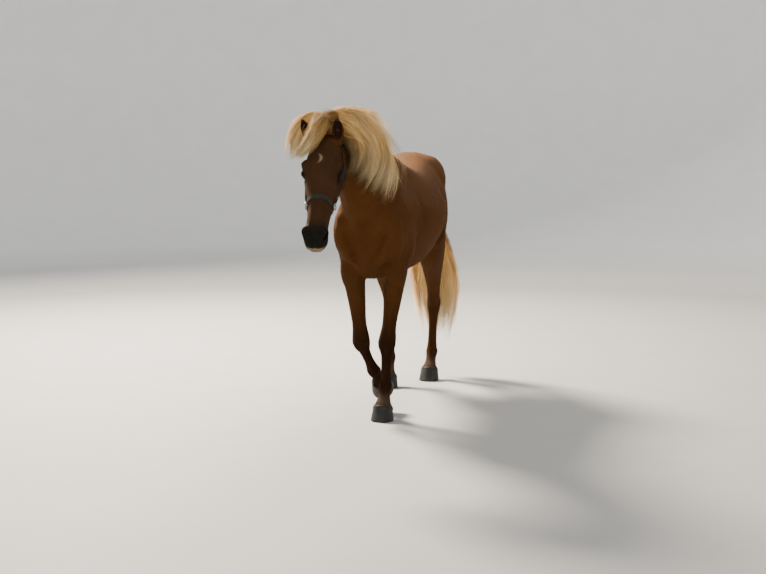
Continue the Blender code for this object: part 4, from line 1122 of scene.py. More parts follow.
def eyeball(name, side):
    """A dark eye with a clear bulge in front, a brown iris and a pupil that lies along the head."""
    bm = bmesh.new()
    bmesh.ops.create_uvsphere(bm, u_segments=64, v_segments=48, radius=EYE_RADIUS)
    points = np.array([v.co for v in bm.verts])
    mirror = np.array((1, 1, side))
    axis = EYE_AXIS * mirror
    upright = pointing(unit(np.cross(axis, (1.0, 0.0, 0.0))), 1)
    turn = np.array([np.cross(upright, axis), upright, axis]).T
    facing = points[:, 2] / EYE_RADIUS
    bulge = 1 + EYE_BULGE * smooth_step(0.72, 1.0, facing)
    centred = (points * bulge[:, None]) @ turn.T + np.array(EYE) * mirror
    for vert, place in zip(bm.verts, on_head(*centred.T)):
        vert.co = place
    obj = kept(name, bm)
    away = np.hypot(points[:, 0], points[:, 1]) / EYE_RADIUS
    slit = np.hypot(points[:, 0] / PUPIL_SIZE[0], points[:, 1] / PUPIL_SIZE[1])
    pupil = ((facing > 0) * (1 - smooth_step(0.85, 1.05, slit)))[:, None]
    tint = mix(np.array(SCLERA), IRIS, (facing > 0) * (1 - smooth_step(0.66, 0.72, away)))
    painted(obj.data, tint * (1 - pupil) + PUPIL * pupil)
    obj.data.shade_smooth()
    return obj


def painted(mesh, colours):
    """A colour for each vertex, in linear light."""
    layer = mesh.color_attributes.new("tint", "FLOAT_COLOR", "POINT")
    values = np.ones((len(mesh.vertices), 4), np.float32)
    values[:, :3] = colours
    layer.data.foreach_set("color", values.ravel())


# Hair strands: sides of each, and the size of its patch on the unwrap
STRAND_SIDES = 3
PATCH = 0.003
FLATNESS = 0.5


def strand_mesh(name, lines, ways, widths, tints, roots, softness):
    """Closed tapered strands along lines of places, with the ways out, widths and colours at each step.

    Softness is how far the shading follows the way out in place of the strand's own sides.
    """
    count, steps = lines.shape[:2]
    direction = unit(np.gradient(lines, axis=1))
    side = unit(np.cross(direction, ways))
    out = np.cross(direction, side)
    turn = round_angles(STRAND_SIDES)
    body = lines[:, :-1, None] + widths[:, :-1, None, None] / 2 * (
        side[:, :-1, None] * np.cos(turn)[:, None] + out[:, :-1, None] * np.sin(turn)[:, None] * FLATNESS
    )
    ways = np.broadcast_to(ways, lines.shape)
    shading = side[:, :-1, None] * np.cos(turn)[:, None] + out[:, :-1, None] * np.sin(turn)[:, None]
    shading = unit(shading * (1 - softness) + ways[:, :-1, None] * softness).reshape(count, -1, 3)
    shading = np.concatenate([shading, ways[:, -1:]], axis=1)
    points = np.concatenate([body.reshape(count, -1, 3), lines[:, -1:]], axis=1)
    each = points.shape[1]
    quads, ends = [], []
    for step in range(steps - 2):
        for k in range(STRAND_SIDES):
            a, b = step * STRAND_SIDES + k, step * STRAND_SIDES + (k + 1) % STRAND_SIDES
            quads.append((a, b, b + STRAND_SIDES, a + STRAND_SIDES))
    last = (steps - 2) * STRAND_SIDES
    for k in range(STRAND_SIDES):
        ends.append((last + k, last + (k + 1) % STRAND_SIDES, each - 1))
    ends.append(tuple(range(STRAND_SIDES))[::-1])
    loops = np.array([i for face in quads for i in face] + [i for face in ends for i in face])
    sizes = np.array([4] * len(quads) + [3] * len(ends))
    all_loops = (np.arange(count)[:, None] * each + loops).ravel()
    all_sizes = np.tile(sizes, count)
    mesh = bpy.data.meshes.new(name)
    mesh.vertices.add(count * each)
    mesh.vertices.foreach_set("co", points.astype(np.float32).ravel())
    mesh.loops.add(len(all_loops))
    mesh.loops.foreach_set("vertex_index", all_loops.astype(np.int32))
    mesh.polygons.add(len(all_sizes))
    mesh.polygons.foreach_set("loop_start", (np.cumsum(all_sizes) - all_sizes).astype(np.int32))
    mesh.update(calc_edges=True)
    mesh.shade_smooth()
    mesh.normals_split_custom_set_from_vertices(shading.reshape(-1, 3))
    shades = np.concatenate([np.repeat(tints[:, :-1], STRAND_SIDES, axis=1), tints[:, -1:]], axis=1)
    painted(mesh, shades.reshape(-1, 3))
    across = np.append(np.tile(np.arange(STRAND_SIDES) / (STRAND_SIDES - 1) - 0.5, steps - 1), 0.0)
    down = np.append(np.repeat(np.arange(steps - 1) / (steps - 1), STRAND_SIDES), 1.0) - 0.5
    patch = np.stack([across, down], axis=1) * PATCH
    places = (roots[:, None] + patch).reshape(-1, 2)
    layer = mesh.uv_layers.new(name="OFBake")
    layer.uv.foreach_set("vector", places[all_loops].astype(np.float32).ravel())
    return linked(name, mesh)


# Colours of the coat and of the long hair, in linear light, and how strongly they show
CHESTNUT = (0.070, 0.0275, 0.0072)
# The dark coat is the lower legs' own darker colour, and also painted shade on the front legs and the belly
DARK_AND_SHADED_COAT = (0.017, 0.0070, 0.0028)
# Painted light: the lit colour laid on the top of the back
PAINTED_LIT_COAT = (0.22, 0.100, 0.034)
MUZZLE = (0.0100, 0.0092, 0.0066)
CHIN = (0.22, 0.17, 0.11)
# Painted shade: the darker colour laid over the face
FACE_PAINTED_SHADE = (0.030, 0.0155, 0.0085)
EAR_HAIR = (0.30, 0.165, 0.070)
CREASE_SHADE = 0.28
PASTERN = (0.085, 0.060, 0.042)
PASTERN_SHARE = 0.6
EAR_INSIDE = (0.022, 0.010, 0.006)
FACE_SHADE_SHARE = 0.75
CHIN_SHARE = 0.85
LID_SHARE = 0.85
FURROW_DEPTH = 0.018

# How dark the legs are, how much painted shade the front legs get beyond that and the belly gets, and how
# much painted light the back gets
LEGS_DARK = 0.40
FRONT_PAINTED_SHADE = 0.35
BELLY_PAINTED_SHADE = 0.22
BACK_PAINTED_LIGHT = 0.20
PAINTED_LIGHT_LIMIT = -0.4

# Where the colours lie, from and to: heights over the floor, shares of an ear and places on the head
DARK_LEGS = (0.64, 0.34)
BELLY_SHADE_HEIGHTS = (1.0, 0.7)
BACK_LIGHT_HEIGHTS = (1.12, 1.32)
BACK_LIGHT_ALONG = (-0.45, 0.1)
PASTERN_HEIGHTS = (0.155, 0.095)
CREASE_HEIGHTS = (0.72, 0.80)
EAR_HAIR_UP = (0.62, 0.42)
FACE_SHADE_ALONG = (-0.02, 0.10)
MUZZLE_ALONG = (0.44, 0.53)
CHIN_OUT = (-0.060, -0.076)
CHIN_ALONG = (0.475, 0.515)
CHIN_ASIDE = (0.05, 0.03)

# The star on the forehead: along, side, half length and half width
STAR = (0.150, -0.002, 0.023, 0.0065)
STAR_COLOUR = (0.17, 0.135, 0.085)
# Dark skin, painted round the eyes and inside the nostrils; inside the nostrils its near black is painted
# shade in the hollows as well
DARK_SKIN_AND_HOLLOW_SHADE = (0.005, 0.003, 0.003)
FLAXEN = (0.88, 0.53, 0.19)
FLAXEN_ROOT = (0.17, 0.072, 0.018)
FLAXEN_TIP = (0.98, 0.80, 0.47)
PALEST = 0.98


def coat_colour(points):
    """The coat's chestnut at each place, darker on the lower legs and muzzle, with a small star, with painted
    shade on the front legs, the belly, the face, in the furrows and in the nostrils, and painted light on the
    back.
    """
    folded, _ = mirrored(points)
    along, out, across = to_head(points).T
    aside = folded[:, 2]
    _, y, z = points.T
    head = (y < POLL[1] + 0.06) & (along > -0.08)
    # Painted shade: the front legs darker below the knees beyond the legs' own dark, and the belly darker low
    # down
    front = smooth_step(0.1, -0.1, y)
    dark = (LEGS_DARK + FRONT_PAINTED_SHADE * front) * smooth_step(*DARK_LEGS, z)
    dark = dark + BELLY_PAINTED_SHADE * smooth_step(*BELLY_SHADE_HEIGHTS, z)
    # Painted light: the back paler on top, from behind the withers to the croup
    back = BACK_PAINTED_LIGHT * smooth_step(*BACK_LIGHT_HEIGHTS, z) * smooth_step(*BACK_LIGHT_ALONG, y)
    share = np.clip(dark - back, PAINTED_LIGHT_LIMIT, 1)
    tint = mix(np.array(CHESTNUT), DARK_AND_SHADED_COAT, np.clip(share, 0, 1))
    tint = mix(tint, PAINTED_LIT_COAT, np.clip(-share, 0, 1))
    # Painted shade: the face darkened from the poll on
    tint = mix(tint, FACE_PAINTED_SHADE, FACE_SHADE_SHARE * head * smooth_step(*FACE_SHADE_ALONG, along))
    tint = mix(tint, PASTERN, PASTERN_SHARE * smooth_step(*PASTERN_HEIGHTS, z))
    # Painted shade in the furrows of the trunk
    crease = np.zeros(len(points))
    left = left_side(points)
    for depth, width, line in FURROWS:
        if depth > 0:
            near = bell(near_line(left, line), width * 0.8)
            crease = np.maximum(crease, depth / FURROW_DEPTH * near)
    tint = tint * (1 - CREASE_SHADE * crease * smooth_step(*CREASE_HEIGHTS, z))[:, None]
    for name, parts in EARS.items():
        root, reach = (np.array(part) for part in parts)
        up = (points - on_head(*root)) @ reach / (reach @ reach)
        hair = smooth_step(*EAR_HAIR_UP, up) * (name == "ear_right")
        tint = mix(tint, mix(np.array(EAR_INSIDE), EAR_HAIR, hair), in_cup(points, name))
    tint = mix(tint, MUZZLE, head * smooth_step(*MUZZLE_ALONG, along + 0.12 * aside))
    lips = head * smooth_step(*CHIN_OUT, out) * smooth_step(*CHIN_ALONG, along)
    tint = mix(tint, CHIN, CHIN_SHARE * lips * smooth_step(*CHIN_ASIDE, aside))
    # Painted shade: the nostrils' hollows near black, over their dark skin
    tint = mix(tint, DARK_SKIN_AND_HOLLOW_SHADE, head * smooth_step(1.2, 0.8, nostril_ratio(folded)))
    near_eye = head * smooth_step(3.0, 1.3, eye_places(folded)[0]) * (aside > 0.05)
    tint = mix(tint, DARK_SKIN_AND_HOLLOW_SHADE, LID_SHARE * near_eye)
    up = (along - STAR[0]) / STAR[2]
    bent = across - STAR[1] + 0.010 * up**2
    star = head * smooth_step(1.5, 0.5, np.hypot(up, bent / STAR[3])) * (out > -0.02)
    return mix(tint, STAR_COLOUR, star)


def in_cup(points, name):
    """Which places lie in the cup of an ear."""
    centre, turn = ear_cup(name)
    local = (points - centre) @ turn / (np.array(CUP_HALVES) * 1.04)
    return smooth_step(1.12, 0.98, np.linalg.norm(local, axis=1))


# The way the hair lies on the body, the neck and the legs, and how far back it leans on the head
LIE_ON_BODY = np.array((0.0, 1.0, -0.42))
LIE_ON_NECK = np.array((0.0, 0.75, -0.80))
LIE_ON_LEGS = np.array((0.0, 0.12, -1.0))
HEAD_LEAN = np.array((0.0, 0.25, 0.0))


def lie_of_coat(points):
    """The way the hair lies: back and down on the body, down the face and the legs."""
    head = smooth_step(POLL[1] + 0.10, POLL[1] - 0.02, points[:, 1])[:, None]
    legs = smooth_step(0.82, 0.68, points[:, 2])[:, None]
    neck_part = smooth_step(-0.45, -0.80, points[:, 1])[:, None]
    body = LIE_ON_BODY * (1 - neck_part) + LIE_ON_NECK * neck_part
    body = body * (1 - legs) + LIE_ON_LEGS * legs
    return body * (1 - head) + (HEAD[:, 0] + HEAD_LEAN) * head


def feet(points):
    """How near places are to a coronet and to the back of a fetlock, and the way down that foot."""
    foot, heel = np.zeros(len(points)), np.zeros(len(points))
    down = np.tile((0.0, 0.0, -1.0), (len(points), 1))
    for _, joints, pitch in LEGS.values():
        origin, axes = hoof_frame(joints[3], pitch)
        local = (points - origin) @ axes
        rim = CORONET_HEIGHT + math.tan(CORONET_TILT) * local[:, 1]
        near = smooth_step(0.034, 0.008, local[:, 2] - rim) * (np.hypot(local[:, 0], local[:, 1]) < 0.11)
        back = bell(near_line(points, [joints[2], (np.array(joints[2]) + joints[3]) / 2]) - 0.04, 0.022)
        behind = (points - np.array(joints[2])) @ axes[:, 1] < -0.012
        inside = near_line(points, [joints[2], joints[3]]) < 0.10
        foot = np.maximum(foot, near)
        heel = np.maximum(heel, back * behind)
        down = np.where(inside[:, None], -axes[:, 2] - 0.10 * axes[:, 1], down)
    return foot, heel, down


def skin_samples(mesh, count, density, draw):
    """Places spread over the skin: points, ways out, unwrap places; density is a weight per vertex."""
    mesh.calc_loop_triangles()
    corners = read(mesh.loop_triangles, "vertices", 3, np.int32)
    loops = read(mesh.loop_triangles, "loops", 3, np.int32)
    places = read(mesh.uv_layers["OFBake"].uv, "vector", 2)
    points, ways = coordinates(mesh), normals(mesh)
    a, b, c = (points[corners[:, k]] for k in range(3))
    area = np.linalg.norm(np.cross(b - a, c - a), axis=1) * density[corners].mean(1)
    chance = np.cumsum(area) / area.sum()
    chosen = np.searchsorted(chance, draw.random(count))
    p, q = draw.random(count), draw.random(count)
    over = p + q > 1
    p, q = np.where(over, 1 - p, p), np.where(over, 1 - q, q)
    shares = np.stack([1 - p - q, p, q], axis=1)[..., None]
    found, outward = ((part[corners[chosen]] * shares).sum(1) for part in (points, ways))
    return found, unit(outward), (places[loops[chosen]] * shares).sum(1)


def skin_roots(mesh, points):
    """The places on the unwrap nearest to some points."""
    mesh.calc_loop_triangles()
    corners = [tuple(t.vertices) for t in mesh.loop_triangles]
    loops = [tuple(t.loops) for t in mesh.loop_triangles]
    tree = BVHTree.FromPolygons([v.co for v in mesh.vertices], corners)
    layer = mesh.uv_layers["OFBake"].uv
    found = []
    for point in points:
        _, _, index, _ = tree.find_nearest(Vector(point))
        found.append(layer[loops[index][0]].vector[:])
    return np.array(found)


# Tufts: metres unless a share; on the head and legs they are shorter, at coronets and fetlocks longer
TUFT_LENGTH = 0.0125
HEAD_SHORTER = 0.0065
LEG_SHORTER = 0.003
CORONET_LONGER = 0.014
FETLOCK_LONGER = 0.016
TUFT_SPREAD = (0.7, 1.3)
TUFT_RISE = (0.06, 0.16)
TUFT_SUNK = 0.0012
TUFT_WIDTH = 0.0024
LEG_FINER = 0.0009
HEAD_FINER = 0.0012
TUFT_SHADES = (0.88, 1.12)
TUFT_FADE = (0.95, 1.0, 1.10)
BODY_TUFTS = 52000
TUFT_PIECES = 4


def tufts(mesh, draw, masked):
    """Short tufts all over the skin, lying with the coat."""
    points = coordinates(mesh)
    local = to_head(points)
    head = (points[:, 1] < POLL[1] + 0.08) & (local[:, 0] > -0.06)
    density = np.where(head, 1.6, 1.0) + 1.2 * smooth_step(0.75, 0.5, points[:, 2])
    density = np.where(head & (local[:, 0] > 0.50), 0.3, density)
    foot, heel, _ = feet(points)
    density = density + 7.0 * foot + 3.0 * heel
    roots, ways, places = skin_samples(mesh, BODY_TUFTS, density, draw)
    keep = ~masked(roots)
    roots, ways, places = roots[keep], ways[keep], places[keep]
    local = to_head(roots)
    head = smooth_step(POLL[1] + 0.15, POLL[1] - 0.02, roots[:, 1])
    legs = smooth_step(0.80, 0.45, roots[:, 2])
    count = len(roots)
    length = (TUFT_LENGTH - HEAD_SHORTER * head - LEG_SHORTER * legs) * draw.uniform(*TUFT_SPREAD, count)
    length = np.where((head > 0.5) & (local[:, 0] > 0.42), length * 0.6, length)
    foot, heel, down = feet(roots)
    length = length + CORONET_LONGER * foot + FETLOCK_LONGER * heel
    lie = lie_of_coat(roots) * (1 - foot)[:, None] + down * foot[:, None]
    lie = lie + draw.normal(0, 0.10, (count, 3))
    lie = unit(lie - ways * (lie * ways).sum(1)[:, None])
    rise = length * (draw.uniform(*TUFT_RISE, count) * (1 - 0.6 * head) + 0.22 * foot)
    lines = np.stack([
        roots - ways * TUFT_SUNK,
        roots + lie * (length * 0.5)[:, None] + ways * (rise * 0.75)[:, None],
        roots + lie * length[:, None] + ways * rise[:, None],
    ], axis=1)
    width = (TUFT_WIDTH - LEG_FINER * legs - HEAD_FINER * head) * draw.uniform(0.7, 1.2, count)
    widths = width[:, None] * np.array((0.8, 1.0, 0.0))
    tint = coat_colour(roots) * draw.uniform(*TUFT_SHADES, (count, 1))
    tints = tint[:, None] * np.array(TUFT_FADE)[:, None]
    return lines, ways, widths, tints, places


# A strand's width at its tip as a share of the whole, and the most a single bend may be
TIP_WIDTH = 0.1
BEND_LIMIT = 1.8


def along_widths(draw, count, steps, limits):
    """Widths along each strand, fullest in the middle and fine at the tip."""
    t = np.linspace(0, 1, steps)
    shape = (0.55 + 0.45 * np.sin(math.pi * np.minimum(t + 0.12, 1))) * (1 - t**3) + TIP_WIDTH
    return draw.uniform(*limits, (count, 1)) * shape


def frizz(draw, count, steps, size):
    """Small bends along each strand, none at the root."""
    t = np.linspace(0, 1, steps)
    bends = np.clip(draw.normal(0, 1, (count, steps, 3)), -BEND_LIMIT, BEND_LIMIT)
    bends = bends * np.broadcast_to(size, count)[:, None, None]
    bends[:, 1:-1] = bends[:, 1:-1] * 0.5 + (bends[:, :-2] + bends[:, 2:]) * 0.25
    return bends * np.minimum(t * 2.5, 1)[:, None]


def flaxen(t, shade, warm, root_share, tip_share):
    """The colour of the long hair at each step: brown at the root and where it is warm, which is partly at
    random and partly painted shade on inner strands, paler at the tip.
    """
    root, middle, tip = (np.array(c) for c in (FLAXEN_ROOT, FLAXEN, FLAXEN_TIP))
    brown = np.maximum(smooth_step(root_share, 0.0, t) * 0.85, warm * (1 - 0.35 * t))
    blend = mix(mix(middle, tip, smooth_step(tip_share, 1.0, t)), root, brown)
    blend = blend * shade[:, None, None]
    return blend * np.minimum(1, PALEST / blend.max(axis=-1, keepdims=True))


# The mane's hair is pressed down above its top, and the forelock's toward the middle beyond its side
MANE_TOP = 1.558
FORELOCK_SIDE = -0.262
MANE_FLAT = 0.55

# The mane's clumps: where they grow on the neck, and how far they drift, wave and vary in light
MANE_STEPS = 8
MANE_CLUMPS = 190
MANE_STRANDS = 9500
MANE_START = 0.06
MANE_END = 0.995
MANE_REACH = (0.66, 1.03)
MANE_LAYERS = (0.10, 1.0)
MANE_DRIFT = (-0.13, -0.01)
MANE_WAVE = (0.003, 0.012)
MANE_TURNS = (1.2, 2.4)
MANE_SHADES = (0.40, 1.40)
MANE_WIDTHS = (0.0015, 0.0028)

# Stray hair: share of the strands and of the clumps, lift, length, flick of the tips, and fineness
STRAY_SHARE = 0.03
STRAY_CLUMPS = 0.38
STRAY_LIFT = (0.90, 1.10)
STRAY_LENGTH = (0.35, 0.9)
STRAY_FLICK = (0.75, 1.42)
STRAY_WIDTH = 0.85

# Size of the small bends in single strands, in stray ones and in whole clumps
FRIZZ = 0.0042
MANE_STRAY_FRIZZ = 0.0085
MANE_CLUMP_FRIZZ = 0.0068
FORELOCK_STRAY_FRIZZ = 0.0080
FORELOCK_CLUMP_FRIZZ = 0.0065
TAIL_FRIZZ = 0.0055
TAIL_STRAY_FRIZZ = 0.0110
TAIL_CLUMP_FRIZZ = 0.013

# Along the neck from the withers: the angle to which the mane falls, and its lift on top and at its ends
MANE_SHARES = (0.0, 0.15, 0.35, 0.6, 0.85, 1.0)
MANE_SIZES = (
    (0.95, 1.25, 1.94, 2.34, 2.42, 2.30),
    (0.014, 0.028, 0.080, 0.132, 0.126, 0.090),
    (0.012, 0.022, 0.048, 0.070, 0.066, 0.045),
)


def combed(draw, lines, owner, stray, clumps, sizes):
    """Lines of strands with small bends of their own, larger ones where stray, and those of their clump."""
    count, steps = lines.shape[:2]
    own, own_stray, shared = sizes
    lines = lines + frizz(draw, count, steps, np.where(stray, own_stray, own))
    return lines + frizz(draw, clumps, steps, shared)[owner]


def mane(draw):
    """Strands in clumps that arch over the crest and fall down the left side, and stray ones."""
    t = np.linspace(0, 1, MANE_STEPS)
    count, clumps = MANE_STRANDS, MANE_CLUMPS
    share = np.clip(np.sort(draw.random(clumps)) * 1.04 - 0.02, 0, 1)
    fall, crest, side = (np.interp(share, MANE_SHARES, row) for row in MANE_SIZES)
    reach = fall * draw.uniform(*MANE_REACH, clumps)
    layer = draw.uniform(*MANE_LAYERS, clumps) ** 0.8
    drift = draw.uniform(*MANE_DRIFT, clumps)
    wave = draw.uniform(*MANE_WAVE, clumps)
    phase = draw.uniform(0, 2 * math.pi, clumps)
    turns = draw.uniform(*MANE_TURNS, clumps)
    bright = draw.uniform(*MANE_SHADES, clumps)
    owner = draw.integers(0, clumps, count)
    wild = draw.uniform(*STRAY_LIFT, clumps)
    stray = (draw.random(clumps) < STRAY_CLUMPS)[owner] & (draw.random(count) < 0.45)
    stray = stray | (draw.random(count) < STRAY_SHARE)
    gather = 1 - 0.86 * t**0.5
    u = MANE_START + (MANE_END - MANE_START) * share[owner][:, None]
    u = u + (drift[owner] + draw.normal(0, 0.014, count))[:, None] * t**1.5
    u = u + draw.normal(0, 0.019, count)[:, None] * gather
    start = draw.normal(0.02, 0.18, count)[:, None]
    short = draw.uniform(*STRAY_LENGTH, clumps)[owner] * draw.uniform(0.9, 1.1, count)
    end = reach[owner] * draw.uniform(0.84, 1.04, count) * np.where(stray, short, 1.0)
    angle = start + (end[:, None] - start) * t
    level = np.clip(layer[owner] + draw.normal(0, 0.10, count), 0.04, 1.10)
    level = np.where(stray, wild[owner] + draw.normal(0, 0.03, count), level)[:, None]
    high, low = crest[owner][:, None] * level, side[owner][:, None] * level
    flick = draw.uniform(*STRAY_FLICK, clumps)[owner][:, None]
    low = np.where(stray[:, None], high * flick, low)
    rise = np.sin(math.pi / 2 * np.minimum(t / 0.5, 1))
    lift = -0.004 + (high + 0.004) * rise + (low - high) * np.maximum((t - 0.5) / 0.5, 0)
    swing = 2 * math.pi * turns[owner][:, None] * t + phase[owner][:, None]
    lift = lift + 0.6 * wave[owner][:, None] * np.sin(swing) * t
    u = np.clip(u + wave[owner][:, None] * np.cos(swing) * t, 0.02, 0.999)
    lines = beside_neck(u, angle, lift)
    ways = unit(beside_neck(u, angle, lift + 0.01) - lines)
    lines = combed(draw, lines, owner, stray, clumps, (FRIZZ, MANE_STRAY_FRIZZ, MANE_CLUMP_FRIZZ))
    lines[..., 2] -= np.maximum(lines[..., 2] - MANE_TOP, 0) * MANE_FLAT
    widths = along_widths(draw, count, MANE_STEPS, MANE_WIDTHS) * np.where(stray, STRAY_WIDTH, 1.0)[:, None]
    # Painted light and shade: the outer layers lighter, the inner layers darker and browner, and the strands
    # from the withers' half of the crest browner partway down, as painted shade under the outer hair
    outer = np.minimum(level[:, 0], 1)
    shade = bright[owner] * draw.uniform(0.60, 1.22, count) * (0.42 + 0.58 * outer)
    warm = 0.60 * (1 - outer) + 0.40 * draw.random(clumps)[owner] * draw.random(count)
    inner = 0.97 * smooth_step(0.50, 0.12, share[owner])[:, None] * smooth_step(0.22, 0.55, t)
    return lines, ways, widths, flaxen(t, shade, np.maximum(warm[:, None], inner), 0.18, 0.5)


FORELOCK_LENGTH = (0.66, 1.05)
FORELOCK_LAYERS = (-0.026, 0.010)
FORELOCK_WAVE = (0.002, 0.007)
FORELOCK_TURNS = 1.5
FORELOCK_SHADES = (0.50, 1.40)
FORELOCK_WIDTHS = (0.0013, 0.0025)
FORELOCK_STRAYS = (0.006, 0.034)
BEHIND_FORELOCK = (0.06, -0.08, -0.03)

# The forelock in three sheets, each from an outer to an inner line on the head, root to tip, then the
# numbers of strands and clumps, how far the brown of the roots reaches, and how bright the sheet is;
# the first sheet is painted lighter as painted light, the two between the ears darker, with the brown
# reaching further, as painted shade
FORELOCK_SHEETS = (
    (
        ((-0.014, -0.016, -0.004), (-0.074, 0.010, -0.068), (-0.050, -0.014, -0.126),
         (-0.001, -0.034, -0.161), (0.062, -0.041, -0.165), (0.132, -0.043, -0.148)),
        ((-0.014, 0.001, 0.026), (-0.059, 0.032, -0.013), (-0.039, 0.011, -0.065),
         (0.011, -0.014, -0.091), (0.070, -0.027, -0.110), (0.126, -0.035, -0.119)),
        2100, 40, 0.30, 1.25,
    ),
    (
        ((-0.011, 0.006, -0.011), (-0.046, 0.050, -0.037), (0.001, 0.046, -0.056),
         (0.060, 0.034, -0.075), (0.099, 0.009, -0.102), (0.132, -0.034, -0.128)),
        ((0.003, 0.011, 0.047), (-0.013, 0.068, 0.033), (0.046, 0.074, 0.012),
         (0.094, 0.062, -0.017), (0.122, 0.038, -0.050), (0.145, 0.005, -0.084)),
        1800, 44, 0.80, 0.65,
    ),
    (
        ((-0.024, -0.021, 0.036), (-0.082, 0.017, 0.026), (-0.089, 0.029, -0.006),
         (-0.074, 0.026, -0.043), (-0.036, 0.008, -0.074), (0.015, -0.017, -0.091)),
        ((-0.005, -0.000, 0.059), (-0.050, 0.048, 0.056), (-0.047, 0.067, 0.030),
         (-0.011, 0.062, 0.000), (0.033, 0.053, -0.024), (0.075, 0.033, -0.055)),
        800, 20, 1.00, 0.65,
    ),
)


# The part of each ear from which on no hair passes before it, and how far beside it hair stays away
EAR_SHOWN = {"ear_left": 0.25, "ear_right": 0.52}
EAR_MARGIN = 0.024


def hidden_by(points, name):
    """Which lines of points pass before an ear, seen from the front."""
    root, reach = EARS[name]
    base, reach = on_head(*root), np.array(reach)
    away = (points - base)[..., ::2]
    flat = reach[::2]
    share = np.clip(away @ flat / (flat @ flat), EAR_SHOWN[name], 1.02)
    gap = np.linalg.norm(away - share[..., None] * flat, axis=-1)
    behind = points[..., 1] > base[1] + share * reach[1] + 0.012
    return ((gap < EAR_MARGIN) & ~behind).any(axis=1)


def forelock_sheet(draw, outer, inner, count, clumps, root_share, bright):
    """Strands spread between two lines on the head, in clumps and layers."""
    t = np.linspace(0, 1, MANE_STEPS)
    rows = [refined(line, 8) for line in (outer, inner)]
    places = np.linspace(0, 1, len(rows[0]))
    owner = draw.integers(0, clumps, count)
    middle = np.linspace(0, 1, clumps) + draw.normal(0, 0.02, clumps)
    share = middle[owner][:, None] + draw.normal(0, 0.075, count)[:, None] * (1.3 - 0.8 * t)
    length = draw.uniform(*FORELOCK_LENGTH, clumps)[owner] * draw.uniform(0.88, 1.06, count)
    place = np.clip(t * length[:, None], 0, 1)
    low, high = (np.stack([np.interp(place, places, row[:, k]) for k in range(3)], axis=-1) for row in rows)
    spots = mix(low, high, share)
    ways = unit(spots - np.array(BEHIND_FORELOCK))
    stray = (draw.random(clumps) < STRAY_CLUMPS)[owner] & (draw.random(count) < 0.5)
    layer = draw.uniform(*FORELOCK_LAYERS, clumps)[owner] + draw.normal(0, 0.004, count)
    lifted = draw.uniform(*FORELOCK_STRAYS, clumps)[owner] + draw.normal(0, 0.002, count)
    layer = np.where(stray, lifted, layer)[:, None]
    phase = draw.uniform(0, 2 * math.pi, clumps)[owner][:, None]
    wave = draw.uniform(*FORELOCK_WAVE, clumps)[owner][:, None] * t
    swing = 2 * math.pi * FORELOCK_TURNS * t + phase
    arch = 0.35 + 0.65 * np.sin(math.pi * np.minimum(t + 0.1, 0.6))
    spots = spots + ways * (layer * arch + wave * np.sin(swing))[..., None]
    spots[..., 2] += wave * np.cos(swing)
    lines = on_head(spots[..., 0], spots[..., 1], spots[..., 2])
    lines = combed(draw, lines, owner, stray, clumps, (FRIZZ, FORELOCK_STRAY_FRIZZ, FORELOCK_CLUMP_FRIZZ))
    lines[..., 0] -= np.minimum(lines[..., 0] - FORELOCK_SIDE, 0) * MANE_FLAT
    widths = along_widths(draw, count, MANE_STEPS, FORELOCK_WIDTHS)
    widths = widths * np.where(stray, STRAY_WIDTH, 1.0)[:, None]
    shade = draw.uniform(*FORELOCK_SHADES, clumps)[owner] * draw.uniform(0.70, 1.18, count) * bright
    # Painted shade: strands in the deeper layers browner
    deep = smooth_step(0.004, -0.026, layer[:, 0])
    warm = 0.70 * deep + 0.30 * draw.random(clumps)[owner] * draw.random(count)
    tints = flaxen(t, shade, warm[:, None], root_share, 0.6)
    keep = ~hidden_by(lines, "ear_right") & ~hidden_by(lines, "ear_left")
    return [part[keep] for part in (lines, ways @ HEAD.T, widths, tints)]


def forelock(draw):
    """Strands from between the ears that fall over the forehead and behind the right ear."""
    sheets = [forelock_sheet(draw, *sheet) for sheet in FORELOCK_SHEETS]
    return [np.concatenate(parts) for parts in zip(*sheets)]


# The tail: its middle line, its strands, and its fullness at shares of the way down
TAIL_LINE = [
    (0.0, 0.655, 1.235),
    (0.005, 0.725, 1.215),
    (0.015, 0.775, 1.10),
    (0.030, 0.80, 0.90),
    (0.062, 0.815, 0.68),
    (0.082, 0.82, 0.45),
    (0.098, 0.82, 0.14),
]
TAIL_STRANDS = 6000
TAIL_CLUMPS = 150
TAIL_STEPS = 9
TAIL_FLATNESS = 0.42
TAIL_SPREAD = 0.150
TAIL_ROOT = 0.020
TAIL_STARTS = (0.0, 0.36)
TAIL_ENDS = (0.76, 1.0)
TAIL_SWAY = (0.008, 0.028)
TAIL_TURNS = (1.4, 2.8)
TAIL_SHADES = (0.56, 1.50)
TAIL_WIDTHS = (0.0017, 0.0032)
TAIL_STRAY_WIDTH = 0.6
TAIL_TONE = (1.05, 0.94, 0.76)
TAIL_PLACES = (0.0, 0.33, 0.50, 0.67, 0.83, 1.0)
TAIL_FULLNESS = (0.5, 0.42, 0.54, 0.92, 1.12, 0.62)


